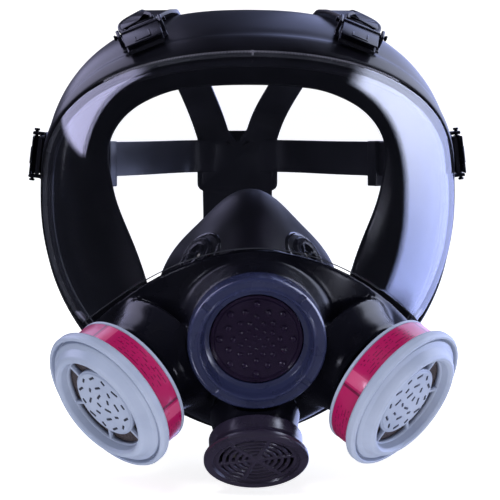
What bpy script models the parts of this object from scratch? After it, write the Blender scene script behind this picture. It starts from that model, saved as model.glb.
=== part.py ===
"""Full face respirator: lens, rubber facepiece, moulded front, two bayonet cartridges and a head harness.

Metres, +Z up. The wearer is on the +Y side, the mask faces -Y, and +X is the wearer's left side.
The origin is the middle of the face opening, where the wearer's face meets the seal.
"""
import math

import bmesh
import bpy
from mathutils import Matrix, Vector

for old in list(bpy.data.objects):
    bpy.data.objects.remove(old, do_unlink=True)

# Overall form of the facepiece: a dome seen from the front as an egg.
HALF_WIDTH = 0.1107
WIDEST_Z = 0.023
DOME_UP = 0.102
DOME_DOWN = 0.118
DOME_DEPTH = 0.090
DEPTH_FADE_DOWN = 0.200
GAP = 0.0004
EDGE_GAP = HALF_WIDTH / 92.25

# Lens and the walls that hold it.
LENS_WALL = 0.0025
LENS_TOP_Y = -0.050
LENS_TOP_Z = 0.102
LENS_ABOVE_RING = 0.0113
LENS_CORNER_X = HALF_WIDTH * 0.813
LENS_CORNER_Y = -DOME_DEPTH * 2 / 9
LENS_CORNER_Z = -0.042
LENS_CORNER_PHI = math.radians(124.0)
SEAL_WALL = 0.0026
RABBET = 0.005
LIP_PROUD = 0.0012
FRONT_WALL = 0.003

# Rear rim and sealing flange.
RIM_Y = 0.013
RIM_TEMPLE_EXTRA = 0.009
RIM_CHIN_FORWARD = 0.008

# Ports. Each port frame has its origin on the port's outer plane and +Z pointing out of the mask.
SPEECH_AT = Vector((0, -DOME_DEPTH - 0.015, -0.042))
SPEECH_DOWN = math.radians(12.4)
SPEECH_R = 0.0342
SPEECH_DISC_R = 0.0228
SPEECH_DEPTH = 0.009
SPEECH_RING_THICK = 0.011
LENS_LOW_Z = SPEECH_AT.z + SPEECH_R + LENS_ABOVE_RING

EXHALE_AT = Vector((0, -DOME_DEPTH * 0.7 - 0.032, -0.102))
EXHALE_DOWN = math.radians(48.3)
EXHALE_R = 0.0262
EXHALE_NECK_R = 0.021
EXHALE_WALL = 0.0027

CARTRIDGE_AT = Vector((HALF_WIDTH * 0.6775, -DOME_DEPTH * 0.7 - 0.029, -0.072))
CARTRIDGE_OUT = Vector((0.669, -0.569, -0.477)).normalized()
CARTRIDGE_R = 0.0389
CAN_R = 0.0346
CAN_DEPTH = 0.0198
FACE_RING_R = 0.0257
FACE_RING_PROUD = 0.0054
HUB_DISC_R = 0.0194
SPIGOT_R = 0.0150
INLET_BARREL_R = SPIGOT_R + 0.0042
INLET_BOSS_R = INLET_BARREL_R + 0.0078
LUG_PROUD = 0.0016
TWIST = math.radians(45)

CUP_WALL = 0.002
CUP_FRONT_Y = 0.020 - DOME_DEPTH
CUP_REAR_R = 0.050
CUP_REAR_Z = -0.033
CUP_VALVE_R = 0.010

# Harness.
STRAP_WALL = 0.0018
STRAP_WIDTH = 0.020
PAD_Y = 0.170
PAD_Z = 0.040
PAD_WIDTH = 0.050
PAD_HEIGHT = 0.042
BUCKLE_FLOOR = 0.0012
STRAP_CLEAR = STRAP_WIDTH * 0.02
BUCKLE_EAR = 0.0018
BUCKLE_LENGTH = 0.018
PIN_R = 0.0009
LEVER_LENGTH = 0.0145


def material(name, colour, roughness, metallic=0.0):
    made = bpy.data.materials.new(name)
    made.use_nodes = True
    shader = made.node_tree.nodes["Principled BSDF"]
    shader.inputs["Base Color"].default_value = (*colour, 1)
    shader.inputs["Roughness"].default_value = roughness
    shader.inputs["Metallic"].default_value = metallic
    return made


RUBBER = material("black_rubber", (0.02, 0.02, 0.03), 0.45)
CLEAR = material("clear_lens", (0.80, 0.83, 0.90), 0.05)
BLACK = material("black_moulding", (0.015, 0.015, 0.02), 0.2)
RING = material("slate_ring", (0.09, 0.10, 0.14), 0.4)
GREY = material("grey_plastic", (0.42, 0.45, 0.52), 0.4)
BAND = material("magenta_band", (0.42, 0.01, 0.11), 0.35)
MEDIA = material("filter_medium", (0.22, 0.19, 0.20), 0.9)
FILM = material("voice_film", (0.55, 0.50, 0.35), 0.3)
VALVE = material("valve_rubber", (0.25, 0.25, 0.25), 0.5)
STEEL = material("pin_steel", (0.6, 0.6, 0.6), 0.3, 1.0)


def add_object(name, bm, finish, place=None, parent=None):
    """Turns a bmesh into a named object with smooth round faces."""
    bmesh.ops.recalc_face_normals(bm, faces=bm.faces)
    mesh = bpy.data.meshes.new(name)
    bm.to_mesh(mesh)
    bm.free()
    mesh.shade_smooth()
    mesh.set_sharp_from_angle(angle=math.radians(35))
    made = bpy.data.objects.new(name, mesh)
    bpy.context.scene.collection.objects.link(made)
    mesh.materials.append(finish)
    made.parent = parent
    if place is not None:
        made.matrix_local = place
    return made


def hide_cutter(cutter):
    cutter.hide_render = True
    cutter.display_type = "WIRE"
    return cutter


def boolean(target, other, operation, solver="EXACT"):
    hide_cutter(other)
    step = target.modifiers.new(other.name, "BOOLEAN")
    step.operation = operation
    step.solver = solver
    step.object = other


def turned_mesh(profile, steps, whole=True):
    """Spins a profile of (radius, height) points about Z; one that starts and ends on the axis stays open."""
    bm = bmesh.new()
    points = [bm.verts.new((r, 0, z)) for r, z in profile]
    on_axis = profile[0][0] == 0 and profile[-1][0] == 0
    ends = points[1:] if on_axis else points[1:] + points[:1]
    edges = [bm.edges.new(pair) for pair in zip(points, ends)]
    bmesh.ops.spin(bm, geom=points + edges, cent=(0, 0, 0), axis=(0, 0, 1), steps=steps,
                   angle=math.tau, use_merge=True)
    bmesh.ops.remove_doubles(bm, verts=bm.verts, dist=1e-6)
    return bm


def turned(name, profile, finish, place=None, parent=None, steps=24):
    return add_object(name, turned_mesh(profile, steps), finish, place, parent)


def add_box(bm, size, place):
    """Adds a box of full size (x, y, z) at a place."""
    sized = place @ Matrix.Diagonal((*size, 1))
    bmesh.ops.create_cube(bm, size=1, matrix=sized)


def sheet_grid(bm, point, across, along):
    """Adds a grid whose vertex at (u, v), each from 0 to 1, goes to point(u, v)."""
    grid = bmesh.ops.create_grid(bm, x_segments=across, y_segments=along, size=0.5)
    for vert in grid["verts"]:
        vert.co = point(vert.co.x + 0.5, vert.co.y + 0.5)
    return grid["verts"]


def rim_edges(verts):
    edges = {edge for vert in verts for edge in vert.link_edges}
    return [edge for edge in edges if edge.is_boundary]


def thick_sheet(name, outer, inner, across, along, finish):
    """A closed solid between an outer sheet and an inner sheet."""
    bm = bmesh.new()
    first = rim_edges(sheet_grid(bm, outer, across, along))
    second = rim_edges(sheet_grid(bm, inner, across, along))
    bmesh.ops.bridge_loops(bm, edges=first + second)
    return add_object(name, bm, finish)


def ring_solid(name, point, around, section, finish):
    """A closed solid swept round a loop: point(u, v) repeats in both u and v."""
    bm = bmesh.new()
    sheet_grid(bm, point, around, section)
    bmesh.ops.remove_doubles(bm, verts=bm.verts, dist=1e-6)
    return add_object(name, bm, finish)


def axis_place(origin, outward, up=Vector((0, 0, 1))):
    """A frame at origin with +Z along outward and +Y as near to up as it can be."""
    z = outward.normalized()
    x = up.cross(z).normalized()
    y = z.cross(x)
    return Matrix.Translation(origin) @ Matrix((x, y, z)).transposed().to_4x4()


def mirrored_x(vector, side):
    return Vector((vector.x * side, vector.y, vector.z))


def blend(a, b, t):
    return a + (b - a) * t


# The dome, as functions of height.

def half_width(z):
    up = z > WIDEST_Z
    reach = DOME_UP if up else DOME_DOWN
    power = 2.5 if up else 2.0
    share = min(abs(z - WIDEST_Z) / reach, 1.0)
    return HALF_WIDTH * (1 - share**power) ** (1 / power)


def half_depth(z):
    up = z > WIDEST_Z
    reach = DOME_UP if up else DEPTH_FADE_DOWN
    power = 1.75 if up else 2.0
    share = min(abs(z - WIDEST_Z) / reach, 1.0)
    return DOME_DEPTH * (1 - share**power) ** (1 / power)


def dome_level(x, y, z):
    """Below 1 inside the dome and above 1 outside it; behind y = 0 the dome goes straight back."""
    width = max(half_width(z), 1e-5)
    deep = max(half_depth(z), 1e-5)
    return (x / width) ** 2 + (min(y, 0) / deep) ** 2


def dome_normal(point):
    """Outward normal of the dome, found from the slope of its level."""
    step = 0.0004
    slope = Vector()
    for i in range(3):
        ahead = point.copy()
        behind = point.copy()
        ahead[i] += step
        behind[i] -= step
        slope[i] = dome_level(*ahead) - dome_level(*behind)
    return slope.normalized()


def on_dome(x, z, inset=0.0):
    """The dome's front surface at (x, z), moved in by inset."""
    share = min(abs(x) / half_width(z), 0.99999)
    point = Vector((x, -half_depth(z) * math.sqrt(1 - share**2), z))
    return point - dome_normal(point) * inset


def front_edge_y(z):
    """Where the rubber rim begins: a sloping cut above, upright at the temples, sloping again below."""
    above = LENS_TOP_Y + 0.75 * (LENS_TOP_Z - z)
    below = LENS_CORNER_Y + 0.55 * (z - LENS_CORNER_Z)
    return min(-0.0015, above, below)


def polar(phi, radius):
    return radius * math.sin(phi), WIDEST_Z + radius * math.cos(phi)


def radius_where(phi, y_of_z):
    """Distance from the dome's middle, in direction phi, at which the dome is at the depth y_of_z(z)."""
    low, high = 0.0, 0.16
    for _ in range(40):
        middle = (low + high) / 2
        x, z = polar(phi, middle)
        if z > WIDEST_Z + DOME_UP or z < WIDEST_Z - DOME_DOWN:
            high = middle
        elif dome_level(x, y_of_z(z), z) > 1:
            high = middle
        else:
            low = middle
    return low


def rim_point(phi, y, inset=0.0):
    """A point of the dome at angle phi and depth y."""
    x, z = polar(phi, radius_where(phi, lambda _: y))
    point = Vector((x, y, z))
    return point - dome_normal(Vector((x, min(y, -0.0008), z))) * inset


def front_edge(phi, ahead=0.0):
    """The point of the dome where the rubber rim begins, or a distance ahead of it, at angle phi."""
    x, z = polar(phi, radius_where(phi, lambda height: front_edge_y(height) - ahead))
    return Vector((x, front_edge_y(z) - ahead, z))


def rear_rim_y(phi):
    chin = ((1 - math.cos(phi)) / 2) ** 4
    return RIM_Y + RIM_TEMPLE_EXTRA * math.sin(phi) ** 2 - RIM_CHIN_FORWARD * chin


def opening_radius(phi):
    """Radius of the face opening: wide at the temples, drawn in at the cheeks, long at the chin."""
    knots = [
        (0, 0.0615), (32, 0.068), (56, 0.0825), (75, 0.079),
        (97, 0.069), (122, 0.067), (150, 0.084), (180, 0.100),
    ]
    angle = abs((math.degrees(phi) + 180) % 360 - 180)
    for (a, ra), (b, rb) in zip(knots, knots[1:]):
        if angle <= b:
            ease = (1 - math.cos(math.pi * (angle - a) / (b - a))) / 2
            return blend(ra, rb, ease)
    return knots[-1][1]


def lens_low_z(x):
    return LENS_LOW_Z + (LENS_CORNER_Z - LENS_LOW_Z) * (x / LENS_CORNER_X) ** 2


# Facepiece rubber: outer wall, turned-in flange and the rabbet that the lens and the front sit in.

def seal_section(phi):
    edge = front_edge(phi)
    back = rear_rim_y(phi)
    flange = rim_point(phi, 0)
    reach = math.hypot(flange.x, flange.z - WIDEST_Z)
    inner = opening_radius(phi)
    seat = LENS_WALL + EDGE_GAP

    def wall(share, inset):
        return rim_point(phi, blend(edge.y, back, share), inset)

    def flange_at(share, y):
        x, z = polar(phi, blend(reach - 0.003, inner, share))
        return Vector((x, y, z))

    return [
        wall(0.0, -LIP_PROUD),
        wall(0.15, -LIP_PROUD),
        wall(0.22, 0),
        wall(0.55, 0),
        wall(0.95, 0),
        flange_at(0.0, back + 0.002),
        flange_at(0.5, back + 0.003),
        flange_at(1.0, back - 0.003),
        flange_at(0.97, back - 0.003 - SEAL_WALL),
        flange_at(0.5, back + 0.003 - SEAL_WALL),
        flange_at(0.1, back - SEAL_WALL),
        wall(0.65, SEAL_WALL + 0.001),
        wall(0.25, SEAL_WALL + seat),
        rim_point(phi, edge.y - RABBET, seat + SEAL_WALL * 0.8),
        rim_point(phi, edge.y - RABBET, seat),
        wall(0.0, seat),
    ]


SEAL_AROUND = 40
seal_rings = [seal_section(math.tau * i / SEAL_AROUND) for i in range(SEAL_AROUND)]
SEAL_POINTS = len(seal_rings[0])


def seal_at(u, v):
    ring = seal_rings[round(u * SEAL_AROUND) % SEAL_AROUND]
    return ring[round(v * SEAL_POINTS) % SEAL_POINTS]


face_seal = ring_solid("face_seal", seal_at, SEAL_AROUND, SEAL_POINTS, RUBBER)


# Lens. Its edge, like the front's, stops short of the rubber.

def lens_at(inset):
    def point(u, v):
        side = 2 * u - 1
        top = front_edge(side * LENS_CORNER_PHI * 0.985, EDGE_GAP * 1.5)
        low_x = side * LENS_CORNER_X * 0.985
        low_z = lens_low_z(low_x) + 0.0004
        rise = math.sin(v * math.pi / 2)
        x = blend(low_x, top.x, rise)
        z = blend(low_z, top.z, rise)
        return on_dome(x, z, inset)
    return point


thick_sheet("lens", lens_at(0.0), lens_at(LENS_WALL), 22, 7, CLEAR)


# Moulded front: the lower part of the dome with three kinds of boss.

def front_at(inset):
    def point(u, v):
        side = 2 * u - 1
        phi = math.pi - side * (math.pi - LENS_CORNER_PHI * 1.035)
        low = front_edge(phi, EDGE_GAP * 3)
        top_x = side * LENS_CORNER_X * 0.975
        top_z = lens_low_z(top_x) - 0.0006 - 0.004 * abs(side) ** 6
        x = blend(top_x, low.x, v)
        z = blend(top_z, low.z, v)
        return on_dome(x, z, inset)
    return point


front_housing = thick_sheet("front_housing", front_at(0.0), front_at(FRONT_WALL), 20, 7, BLACK)

speech_out = Vector((0, -math.cos(SPEECH_DOWN), -math.sin(SPEECH_DOWN)))
exhale_out = Vector((0, -math.cos(EXHALE_DOWN), -math.sin(EXHALE_DOWN)))
speech_place = axis_place(SPEECH_AT, speech_out)
exhale_place = axis_place(EXHALE_AT, exhale_out)
cartridge_places = {
    name: axis_place(mirrored_x(CARTRIDGE_AT, side), mirrored_x(CARTRIDGE_OUT, side))
    for name, side in (("left", 1), ("right", -1))
}

# Facets are turned off the mirror plane, so that no edge of a boss runs along an edge of the dome.
HALF_FACET = Matrix.Rotation(math.radians(3.7), 4, "Z")
COVER_RIM_R = SPEECH_DISC_R + 0.0013
COLLAR_BORE_R = COVER_RIM_R + GAP
COLLAR_THROAT_R = 0.020
COLLAR_FRONT = -(SPEECH_RING_THICK + GAP)
COLLAR_STEP = COLLAR_FRONT - 0.0046

speech_collar = turned("speech_collar", [
    (0, COLLAR_FRONT), (SPEECH_R - 0.0008, COLLAR_FRONT), (SPEECH_R + 0.002, -0.027),
    (COLLAR_BORE_R + 0.002, -0.0275), (COLLAR_BORE_R + 0.002, -0.031), (0, -0.031),
], BLACK, speech_place)
boolean(front_housing, speech_collar, "UNION", "MANIFOLD")

EXHALE_NECK_FRONT = -0.007
exhale_neck = turned("exhale_neck", [
    (0, EXHALE_NECK_FRONT), (EXHALE_NECK_R, EXHALE_NECK_FRONT), (EXHALE_NECK_R, -0.016),
    (EXHALE_NECK_R - 0.003, -0.0365), (0, -0.0365),
], BLACK, exhale_place @ HALF_FACET)
boolean(front_housing, exhale_neck, "UNION", "MANIFOLD")

FLANGE_FRONT = -(CAN_DEPTH + 0.0028)
FLANGE_BACK = FLANGE_FRONT - 0.003
BOSS_FRONT = FLANGE_BACK - GAP
for name, place in cartridge_places.items():
    boss = turned("inlet_boss_" + name, [
        (0, BOSS_FRONT), (INLET_BOSS_R - 0.001, BOSS_FRONT), (INLET_BOSS_R, BOSS_FRONT - 0.001),
        (INLET_BOSS_R + 0.002, -0.042), (0, -0.042),
    ], BLACK, place @ HALF_FACET)
    boolean(front_housing, boss, "UNION", "MANIFOLD")
for name, place in cartridge_places.items():
    bore = turned("inlet_bore_" + name, [
        (0, BOSS_FRONT + 0.01), (INLET_BARREL_R + GAP, BOSS_FRONT + 0.01),
        (INLET_BARREL_R + GAP, -0.058), (0, -0.058),
    ], BLACK, place, steps=20)
    boolean(front_housing, bore, "DIFFERENCE", "MANIFOLD")

speech_bore = turned("speech_bore", [
    (0, 0.005), (SPEECH_R + 0.001, 0.005), (SPEECH_R + 0.001, COLLAR_FRONT),
    (COLLAR_BORE_R, COLLAR_FRONT), (COLLAR_BORE_R, COLLAR_STEP),
    (COLLAR_THROAT_R, COLLAR_STEP), (COLLAR_THROAT_R, -0.045), (0, -0.045),
], BLACK, speech_place)
boolean(front_housing, speech_bore, "DIFFERENCE", "MANIFOLD")

NECK_BORE_R = EXHALE_NECK_R - EXHALE_WALL
NECK_STEP = -0.0165
NECK_THROAT_R = 0.012
exhale_bore = turned("exhale_bore", [
    (0, 0.010), (NECK_BORE_R, 0.010), (NECK_BORE_R, NECK_STEP), (NECK_THROAT_R, NECK_STEP),
    (NECK_THROAT_R, -0.051), (0, -0.051),
], BLACK, exhale_place @ HALF_FACET @ HALF_FACET, steps=20)
boolean(front_housing, exhale_bore, "DIFFERENCE", "MANIFOLD")


# Speech port.

speech_hub = bpy.data.objects.new("speech_port", None)
speech_hub.matrix_world = speech_place
bpy.context.scene.collection.objects.link(speech_hub)

speech_ring = turned("speech_ring", [
    (SPEECH_DISC_R + 0.0006, -SPEECH_RING_THICK), (SPEECH_R, -SPEECH_RING_THICK), (SPEECH_R, -0.0012),
    (SPEECH_R - 0.001, 0), (0.0290, 0), (0.0279, -0.0008), (SPEECH_DISC_R + 0.0006, -SPEECH_DEPTH + 0.0006),
], RING, None, speech_hub, steps=28)
notches = bmesh.new()
for turn in (48, 142, 228, 321):
    spin = Matrix.Rotation(math.radians(turn), 4, "Z")
    add_box(notches, (0.004, 0.003, 0.002), spin @ Matrix.Translation((0.0315, 0, 0)))
boolean(speech_ring, add_object("ring_notches", notches, RING, None, speech_hub), "DIFFERENCE")

cover_back = COLLAR_FRONT - 0.001
turned("speech_cover", [
    (0, -SPEECH_DEPTH), (SPEECH_DISC_R, -SPEECH_DEPTH), (SPEECH_DISC_R, COLLAR_FRONT),
    (COVER_RIM_R, COLLAR_FRONT), (COVER_RIM_R, cover_back), (0, cover_back),
], RING, None, speech_hub)
film_front = cover_back - 0.0003
turned("speech_diaphragm", [
    (0, film_front), (COVER_RIM_R, film_front), (COVER_RIM_R, film_front - 0.0004), (0, film_front - 0.0004),
], FILM, None, speech_hub, steps=24)
gasket_front = film_front - 0.0007
turned("speech_gasket", [
    (COLLAR_THROAT_R + 0.0005, COLLAR_STEP + 0.0003), (COVER_RIM_R, COLLAR_STEP + 0.0003),
    (COVER_RIM_R, gasket_front), (COLLAR_THROAT_R + 0.0005, gasket_front),
], VALVE, None, speech_hub, steps=24)


def window_cutter(name, count, inner, outer, bar, top, bottom, parent):
    """Sector windows between two radii, with straight bars of width bar left between them."""
    bm = bmesh.new()
    steps = 3
    half = math.pi / count
    for i in range(count):
        middle = math.tau * (i + 0.5) / count
        corners = []
        for radius, order in ((inner, 1), (outer, -1)):
            free = half - math.asin(min(bar / 2 / radius, 0.9))
            for j in range(steps + 1):
                angle = middle + order * blend(-free, free, j / steps)
                corners.append(bm.verts.new((radius * math.cos(angle), radius * math.sin(angle), top)))
        face = bm.faces.new(corners)
        block = bmesh.ops.extrude_face_region(bm, geom=[face])
        moved = [v for v in block["geom"] if isinstance(v, bmesh.types.BMVert)]
        bmesh.ops.translate(bm, verts=moved, vec=(0, 0, bottom - top))
    return add_object(name, bm, BLACK, None, parent)


# Exhalation port.

exhale_hub = bpy.data.objects.new("exhalation_port", None)
exhale_hub.matrix_world = exhale_place
bpy.context.scene.collection.objects.link(exhale_hub)

GRILLE_R = 0.0217
SKIRT_R = 0.0235
SKIRT_BACK = -0.0135
exhalation_cover = turned("exhalation_cover", [
    (0, -0.0016), (GRILLE_R - 0.0005, -0.0012), (GRILLE_R, 0), (EXHALE_R - 0.0008, 0), (EXHALE_R, -0.0008),
    (EXHALE_R, -0.0032), (SKIRT_R, -0.0042), (SKIRT_R, SKIRT_BACK), (EXHALE_NECK_R + GAP, SKIRT_BACK),
    (EXHALE_NECK_R + GAP, -0.0036), (0, -0.0036),
], BLACK, None, exhale_hub)
boolean(exhalation_cover, window_cutter("grille_windows", 8, 0.005, 0.0195, 0.0022, 0.004, -0.006, exhale_hub),
        "DIFFERENCE")

SEAT_FRONT = -0.0100
turned("exhalation_seat", [
    (0.0017, SEAT_FRONT), (NECK_BORE_R - GAP, SEAT_FRONT), (NECK_BORE_R - GAP, SEAT_FRONT - 0.002),
    (0.0017, SEAT_FRONT - 0.002),
], VALVE, None, exhale_hub, steps=24)
seat_windows = window_cutter("seat_windows", 4, 0.004, 0.0135, 0.002, SEAT_FRONT + 0.003, SEAT_FRONT - 0.005,
                             exhale_hub)
boolean(bpy.data.objects["exhalation_seat"], seat_windows, "DIFFERENCE")
VALVE_BACK = SEAT_FRONT + 0.0003
turned("exhalation_valve", [
    (0, VALVE_BACK + 0.0008), (0.0155, VALVE_BACK + 0.0008), (0.0155, VALVE_BACK), (0.0013, VALVE_BACK),
    (0.0013, SEAT_FRONT - 0.005), (0, SEAT_FRONT - 0.005),
], VALVE, None, exhale_hub, steps=20)


# Inlets and cartridges, left and right.

WEB_FRONT = -0.0355
WEB_BACK = WEB_FRONT - 0.0018
BARREL_BACK = -0.0410
LIP_R = SPIGOT_R + GAP
LUG_TRACK_R = SPIGOT_R + LUG_PROUD + GAP * 2
SPIGOT_BACK = -0.0310
LUG_AT = -0.0285
GASKET_BROAD = 0.0055
FLANGE_R = INLET_BARREL_R + 0.003

for name, place in cartridge_places.items():
    hub = bpy.data.objects.new("inlet_port_" + name, None)
    hub.matrix_world = place
    bpy.context.scene.collection.objects.link(hub)

    cover = turned("cartridge_cover_" + name, [
        (0, 0.0010), (FACE_RING_R - 0.0009, 0.0006), (FACE_RING_R, 0.0040), (0.0270, FACE_RING_PROUD),
        (0.0290, FACE_RING_PROUD), (0.0300, 0.0046), (0.0335, -0.0004), (0.0352, -0.0010), (0.0362, 0),
        (CARTRIDGE_R - 0.0010, 0), (CARTRIDGE_R, -0.0012), (CARTRIDGE_R, -0.0055), (CAN_R - 0.0015, -0.0055),
        (CAN_R - 0.0015, -0.0020), (0, -0.0010),
    ], GREY, None, hub, steps=24)
    windows = window_cutter("cover_windows_" + name, 6, HUB_DISC_R, FACE_RING_R - 0.0012, 0.0018,
                            0.004, -0.004, hub)
    boolean(cover, windows, "DIFFERENCE")

    can_front = -0.0058
    turned("cartridge_body_" + name, [
        (CAN_R - 0.0016, can_front), (CAN_R, can_front), (CAN_R, -0.0180), (CAN_R + 0.0007, -0.0182),
        (CAN_R + 0.0007, -CAN_DEPTH), (SPIGOT_R, -CAN_DEPTH), (SPIGOT_R, LUG_AT + 0.001),
        (SPIGOT_R, SPIGOT_BACK), (SPIGOT_R - 0.002, SPIGOT_BACK), (SPIGOT_R - 0.002, 0.0015 - CAN_DEPTH),
        (CAN_R - 0.0016, 0.0015 - CAN_DEPTH),
    ], GREY, None, hub, steps=24)
    lugs = bmesh.new()
    for i in range(2):
        spin = Matrix.Rotation(math.pi * i, 4, "Z")
        lug_size = (LUG_PROUD + 0.001, 0.006, 0.002)
        reach = SPIGOT_R + LUG_PROUD - lug_size[0] / 2
        add_box(lugs, lug_size, spin @ Matrix.Translation((reach, 0, LUG_AT)))
    lug_pair = add_object("lugs_" + name, lugs, GREY, None, hub)
    boolean(bpy.data.objects["cartridge_body_" + name], lug_pair, "UNION")

    turned("cartridge_label_" + name, [
        (CAN_R + 0.0003, -0.0062), (CAN_R + 0.0007, -0.0062),
        (CAN_R + 0.0007, -0.0176), (CAN_R + 0.0003, -0.0176),
    ], BAND, None, hub, steps=24)
    turned("cartridge_filter_" + name, [
        (0, -0.0024), (CAN_R - 0.0020, -0.0024), (CAN_R - 0.0020, -0.0160), (0, -0.0160),
    ], MEDIA, None, hub, steps=20)
    turned("inlet_gasket_" + name, [
        (SPIGOT_R + 0.0006, -CAN_DEPTH - 0.0003), (SPIGOT_R + GASKET_BROAD, -CAN_DEPTH - 0.0003),
        (SPIGOT_R + GASKET_BROAD, FLANGE_FRONT + 0.0003), (SPIGOT_R + 0.0006, FLANGE_FRONT + 0.0003),
    ], VALVE, None, hub, steps=20)

    connector = turned("inlet_connector_" + name, [
        (LIP_R, FLANGE_FRONT), (FLANGE_R, FLANGE_FRONT), (FLANGE_R, FLANGE_BACK), (INLET_BARREL_R, FLANGE_BACK),
        (INLET_BARREL_R, BARREL_BACK), (LUG_TRACK_R, BARREL_BACK), (LUG_TRACK_R, WEB_BACK), (0.0016, WEB_BACK),
        (0.0016, WEB_FRONT), (LUG_TRACK_R, WEB_FRONT), (LUG_TRACK_R, FLANGE_BACK - 0.0006),
        (LIP_R, FLANGE_BACK - 0.0006),
    ], BLACK, None, hub, steps=20)
    slots = bmesh.new()
    for i in range(2):
        spin = Matrix.Rotation(math.pi * i + TWIST, 4, "Z")
        add_box(slots, (0.004, 0.0075, 0.008), spin @ Matrix.Translation((SPIGOT_R, 0, FLANGE_BACK + 0.001)))
    boolean(connector, add_object("entry_slots_" + name, slots, BLACK, None, hub), "DIFFERENCE")
    web_windows = window_cutter("web_windows_" + name, 4, 0.004, 0.0115, 0.002,
                                WEB_FRONT + 0.002, WEB_BACK - 0.002, hub)
    boolean(connector, web_windows, "DIFFERENCE")
    flap_front = WEB_BACK - 0.0003
    turned("inhalation_valve_" + name, [
        (0, WEB_FRONT + 0.0015), (0.0012, WEB_FRONT + 0.0015), (0.0012, flap_front), (0.0130, flap_front),
        (0.0130, flap_front - 0.0007), (0, flap_front - 0.0007),
    ], VALVE, None, hub, steps=20)


# Nose cup: an oval front edge round the speech and exhalation ports, widening to the face.

def cup_point(angle, share, inset):
    front = Vector((0.028 * math.cos(angle), 0, -0.047 + 0.035 * math.sin(angle)))
    front.y = CUP_FRONT_Y - 0.22 * (front.z + 0.047)
    peak = math.exp(-(((math.degrees(angle) - 90 + 180) % 360 - 180) / 22) ** 2)
    radius = CUP_REAR_R + 0.0130 * peak
    rear = Vector((radius * math.cos(angle), 0, CUP_REAR_Z + radius * math.sin(angle)))
    rear.y = -0.006 - 0.014 * peak
    bulge = 1 + 0.20 * math.sin(math.pi * share) * (0.5 + 0.5 * math.sin(angle))
    point = blend(front, rear, share)
    middle_z = -0.040
    shrink = 1 - inset / max(0.03, math.hypot(point.x, point.z - middle_z))
    return Vector((point.x * bulge * shrink, point.y, middle_z + (point.z - middle_z) * bulge * shrink))


CUP_AROUND, CUP_ALONG = 32, 6


def cup_loop(u, v):
    """Goes out along the outer wall and comes back along the inner one."""
    step = round(v * 2 * (CUP_ALONG + 1)) % (2 * (CUP_ALONG + 1))
    outside = step <= CUP_ALONG
    share = step / CUP_ALONG if outside else (2 * CUP_ALONG + 1 - step) / CUP_ALONG
    return cup_point(math.tau * u, share, 0.0 if outside else CUP_WALL)


nose_cup = ring_solid("nose_cup", cup_loop, CUP_AROUND, 2 * (CUP_ALONG + 1), RUBBER)

VALVE_ANGLE = math.radians(52)
for name, side in (("left", 1), ("right", -1)):
    share = 0.42
    at = cup_point(VALVE_ANGLE, share, CUP_WALL / 2)
    across = cup_point(VALVE_ANGLE + 0.1, share, 0) - cup_point(VALVE_ANGLE - 0.1, share, 0)
    along = cup_point(VALVE_ANGLE, share + 0.1, 0) - cup_point(VALVE_ANGLE, share - 0.1, 0)
    out = across.cross(along).normalized()
    out = out if out.z > 0 else -out
    place = axis_place(mirrored_x(at, side), mirrored_x(out, side))
    hub = bpy.data.objects.new("cup_valve_port_" + name, None)
    hub.matrix_world = place
    bpy.context.scene.collection.objects.link(hub)
    hole_r = CUP_VALVE_R - 0.0025
    hole = turned("cup_hole_" + name, [
        (0, 0.012), (hole_r, 0.012), (hole_r, -0.012), (0, -0.012),
    ], RUBBER, None, hub, steps=16)
    boolean(nose_cup, hole, "DIFFERENCE")
    seat_r = hole_r - GAP
    seat = turned("cup_valve_seat_" + name, [
        (0.0014, 0.0024), (0.0060, 0.0040), (CUP_VALVE_R - 0.001, 0.0040), (CUP_VALVE_R, 0.0032),
        (CUP_VALVE_R, 0.0022), (seat_r, 0.0022), (seat_r, -0.0024), (0.0014, -0.0024),
    ], BLACK, None, hub, steps=16)
    boolean(seat, window_cutter("cup_seat_windows_" + name, 4, 0.0028, 0.0056, 0.0014, 0.006, -0.005, hub),
            "DIFFERENCE")
    turned("cup_valve_" + name, [
        (0, 0.0020), (0.0010, 0.0020), (0.0010, -0.0027), (0.0066, -0.0027), (0.0066, -0.0034), (0, -0.0034),
    ], VALVE, None, hub, steps=16)


# Harness: a back pad with six straps, each ending in a buckle on the facepiece.

def smooth_path(points, per_span):
    """Catmull-Rom points through a list of vectors."""
    found = []
    padded = [points[0] * 2 - points[1]] + points + [points[-1] * 2 - points[-2]]
    for a, b, c, d in zip(padded, padded[1:], padded[2:], padded[3:]):
        for i in range(per_span):
            t = i / per_span
            found.append(0.5 * (2 * b + (c - a) * t + (2 * a - 5 * b + 4 * c - d) * t**2
                                + (3 * b - a - 3 * c + d) * t**3))
    return found + [points[-1]]


def strap_object(name, path, outs, width):
    """A flat strap along path whose flat face looks along outs."""
    centres = smooth_path(path, 3)
    normals = smooth_path(outs, 3)
    bm = bmesh.new()
    rings = []
    for i, centre in enumerate(centres):
        ahead = centres[min(i + 1, len(centres) - 1)] - centres[max(i - 1, 0)]
        across = ahead.cross(normals[i]).normalized() * width / 2
        out = across.cross(ahead).normalized() * STRAP_WALL / 2
        ring = [centre + across + out, centre - across + out, centre - across - out, centre + across - out]
        rings.append([bm.verts.new(corner) for corner in ring])
    loops = [[bm.edges.new((ring[i], ring[(i + 1) % 4])) for i in range(4)] for ring in rings]
    for first, second in zip(loops, loops[1:]):
        bmesh.ops.bridge_loops(bm, edges=first + second)
    bmesh.ops.holes_fill(bm, edges=loops[0] + loops[-1], sides=4)
    return add_object(name, bm, RUBBER)


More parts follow.
